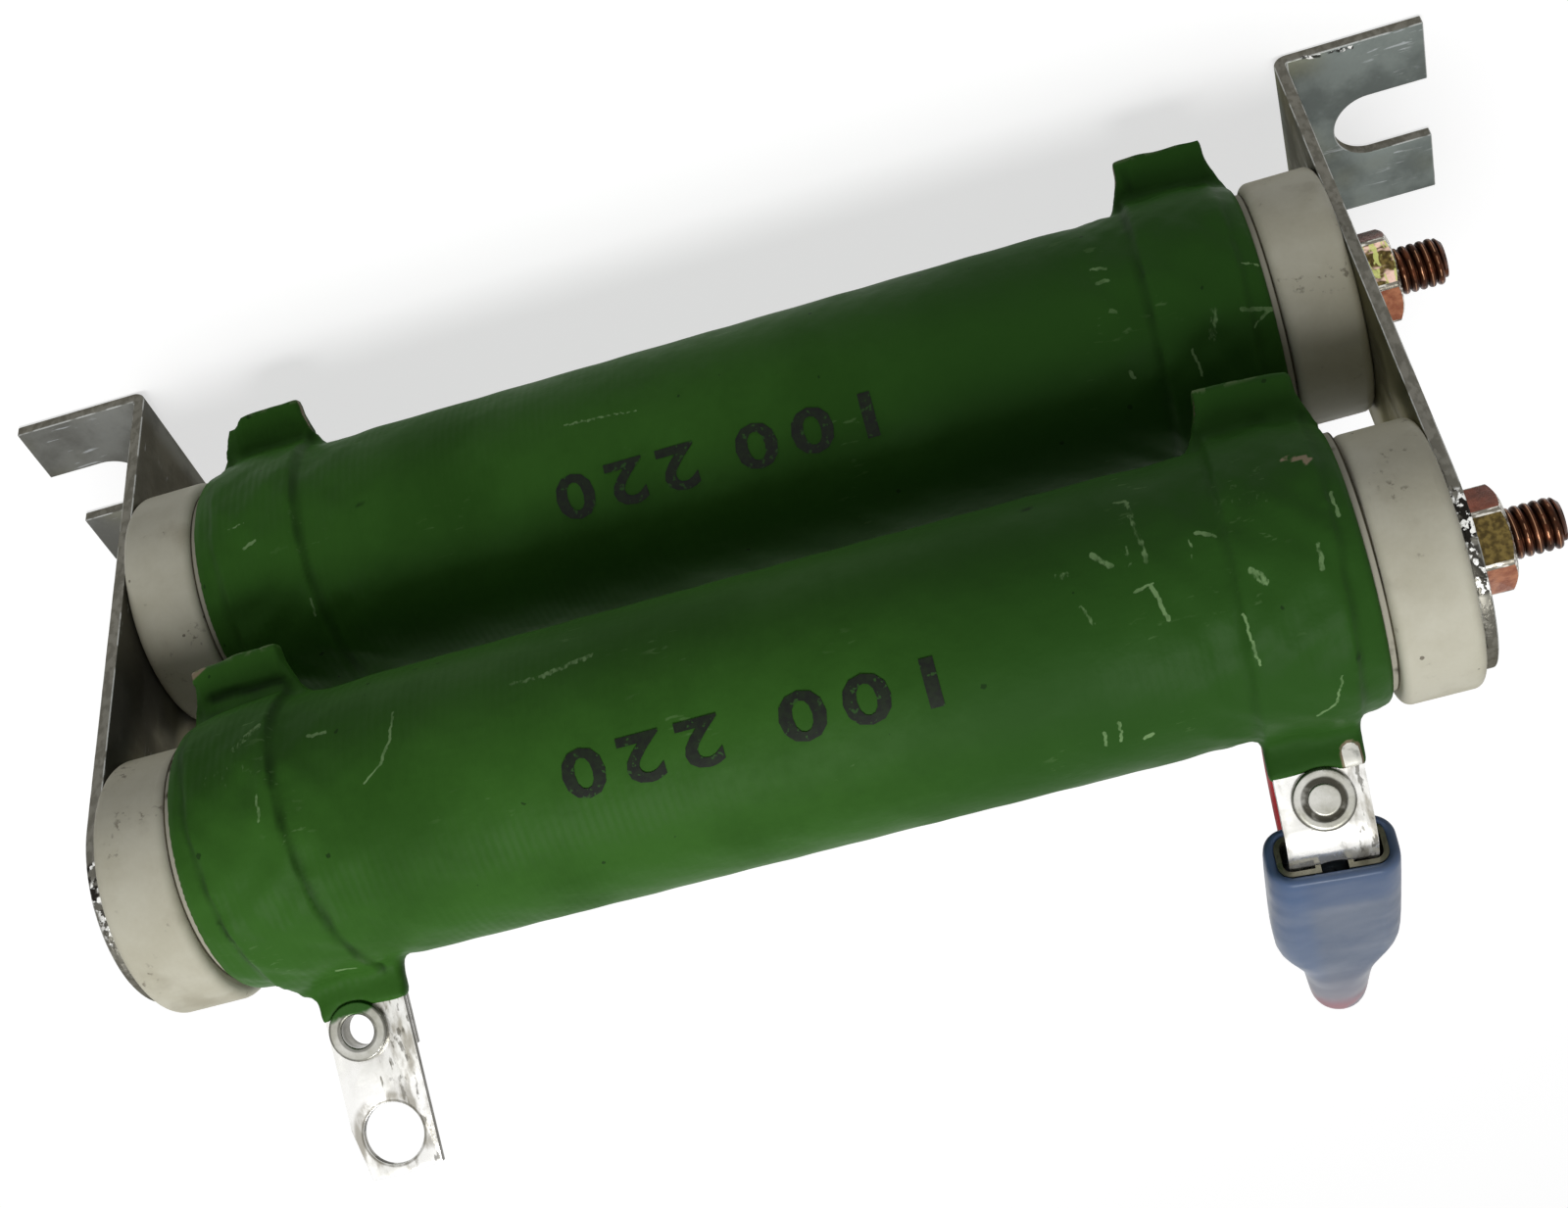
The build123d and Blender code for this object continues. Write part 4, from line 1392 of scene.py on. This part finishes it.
def add_sheet(node, kind, material):
    """A folded piece of sheet with a fine bevel on its edges."""
    work = merged_copy(node)
    bmesh.ops.dissolve_limit(work, angle_limit=math.radians(0.5), verts=work.verts, edges=work.edges)
    bmesh.ops.recalc_face_normals(work, faces=work.faces)
    carrier = link_mesh(node + "_carrier", new_mesh(work, node + "_sheet", material))
    bevel = carrier.modifiers.new("bevel", "BEVEL")
    bevel.width = SHEET_EDGE * MM
    bevel.segments = 2
    bevel.limit_method = "ANGLE"
    bevel.angle_limit = math.radians(50)
    mesh = settled_mesh(carrier, node + "_sheet")
    note(mesh, "edge", cut_edges(mesh, SHEET[kind]), "FACE")
    # The bevels' narrow faces, for a painted highlight
    note(mesh, "bevel_highlight", [float(mean_width(mesh, face) < SHEET_EDGE) for face in mesh.polygons], "FACE")
    shade_smooth(mesh, METAL_CREASE)
    add_piece(node + "_sheet", mesh, node)


# CAD nodes that keep their shape

def dress_nodes(finishes):
    """Puts a finish on every node, by the ending of its name."""
    for name, node in nodes.items():
        material = next(m for ending, m in finishes.items() if name.endswith(ending))
        node.data.materials.clear()
        node.data.materials.append(material)


# Floor, lamp and world, in metres

FLOOR_SIZE = 6.0
FLOOR_DROP = 0.0002
FLOOR_SPAN = (0.15, 1.2)
FLOOR_GLOW = (0.66, 0.9)
AMBIENT = 0.16
LAMP_PLACE = Vector((0.04, -0.08, 0.75))
LAMP_AIM = Vector((0, 0, 0.03))
LAMP_SIZE = 0.38
LAMP_POWER = 3.8


def ray_share(tree):
    """One where the camera sees this straight, in a reflection or through glass, else nought."""
    path = add_node(tree, "ShaderNodeLightPath")
    share = 0.0
    for kind in ("Is Camera Ray", "Is Glossy Ray", "Is Transmission Ray"):
        share = calculate(tree, "MAXIMUM", share, path.outputs[kind])
    return share


def add_floor():
    """A pale floor that the camera sees as white outside the part's soft shadow."""
    bpy.ops.mesh.primitive_plane_add(size=FLOOR_SIZE, location=(0, 0, -FLOOR_DROP))
    floor = bpy.context.object
    floor.name = "floor"
    material = bpy.data.materials.new("floor")
    material.use_nodes = True
    tree = material.node_tree
    tree.nodes.remove(tree.nodes["Principled BSDF"])
    matt = add_node(tree, "ShaderNodeBsdfDiffuse", {"Color": (0.5, 0.5, 0.5, 1.0)}).outputs[0]
    place = add_node(tree, "ShaderNodeTexCoord").outputs["Object"]
    away = vector_math(tree, "LENGTH", place, (0, 0, 0), "Value")
    level = ramp(tree, away, *FLOOR_SPAN, *FLOOR_GLOW)
    strength = calculate(tree, "MULTIPLY", ray_share(tree), level)
    glow = add_node(tree, "ShaderNodeEmission", {"Strength": strength}).outputs[0]
    lit = add_node(tree, "ShaderNodeAddShader", {0: matt, 1: glow}).outputs[0]
    clear = add_node(tree, "ShaderNodeBsdfTransparent").outputs[0]
    under = add_node(tree, "ShaderNodeNewGeometry").outputs["Backfacing"]
    both = add_node(tree, "ShaderNodeMixShader", {0: under, 1: lit, 2: clear}).outputs[0]
    tree.links.new(both, tree.nodes["Material Output"].inputs["Surface"])
    floor.data.materials.append(material)


def add_world():
    world = bpy.data.worlds.new("world")
    scene.world = world
    world.use_nodes = True
    tree = world.node_tree
    background = tree.nodes["Background"].inputs
    tree.links.new(ramp(tree, ray_share(tree), 0.0, 1.0, AMBIENT, 1.0), background["Strength"])
    background["Color"].default_value = (1.0, 1.0, 1.0, 1.0)


def add_lamp():
    """One broad lamp overhead."""
    data = bpy.data.lights.new("overhead lamp", "AREA")
    data.shape = "DISK"
    data.size = LAMP_SIZE
    data.energy = LAMP_POWER
    lamp = bpy.data.objects.new("overhead lamp", data)
    lamp.location = LAMP_PLACE
    lamp.rotation_mode = "QUATERNION"
    lamp.rotation_quaternion = (LAMP_AIM - LAMP_PLACE).to_track_quat("-Z", "Y")
    scene.collection.objects.link(lamp)


def main():
    scene.view_settings.view_transform = "Standard"
    add_camera()
    lead_finish = lead_insulation()
    lead = add_lead(lead_finish)
    bolt_finish = bolt_steel()
    plastic = boot_plastic()
    ink = stamp_ink()
    ceramic = cap_ceramic()
    nut_finish = nut_steel()
    tin = tinned_metal("terminal tin", (136, 133, 118), (92, 90, 76), (50, 48, 38)).finished()
    thread = thread_tree(bolt_finish)
    for tier in TIERS:
        add_bolt(tier, thread, bolt_finish)
        add_nut(tier, nut_finish)
        add_coat(tier)
        add_boot(tier, plastic)
        add_stamp(tier, ink)
        for side in SIDES:
            add_sheet(f"{tier}_{side}_terminal_strip", "strip", strip_tin(tier, side))
    for side in SIDES:
        add_sheet(side + "_bracket", "bracket", bracket_zinc(side))
    finishes = {
        "_end_cap": ceramic,
        "_coating": ceramic,
        "_ceramic_tube": tube_ceramic(),
        "_winding": resistance_wire(),
        "_nut": nut_finish,
        "_through_bolt": bolt_finish,
        "_bracket": tin,
        "_terminal_strip": tin,
        "_push_on_terminal": tin,
        "_boot": plastic,
        "jumper_lead": lead_finish,
    }
    for tier in TIERS:
        finishes[tier + "_left_eyelet"] = eyelet_tin(tier, "left")
        finishes[tier + "_right_rivet"] = eyelet_tin(tier, "right")
    dress_nodes(finishes)
    add_floor()
    add_world()
    add_lamp()


main()
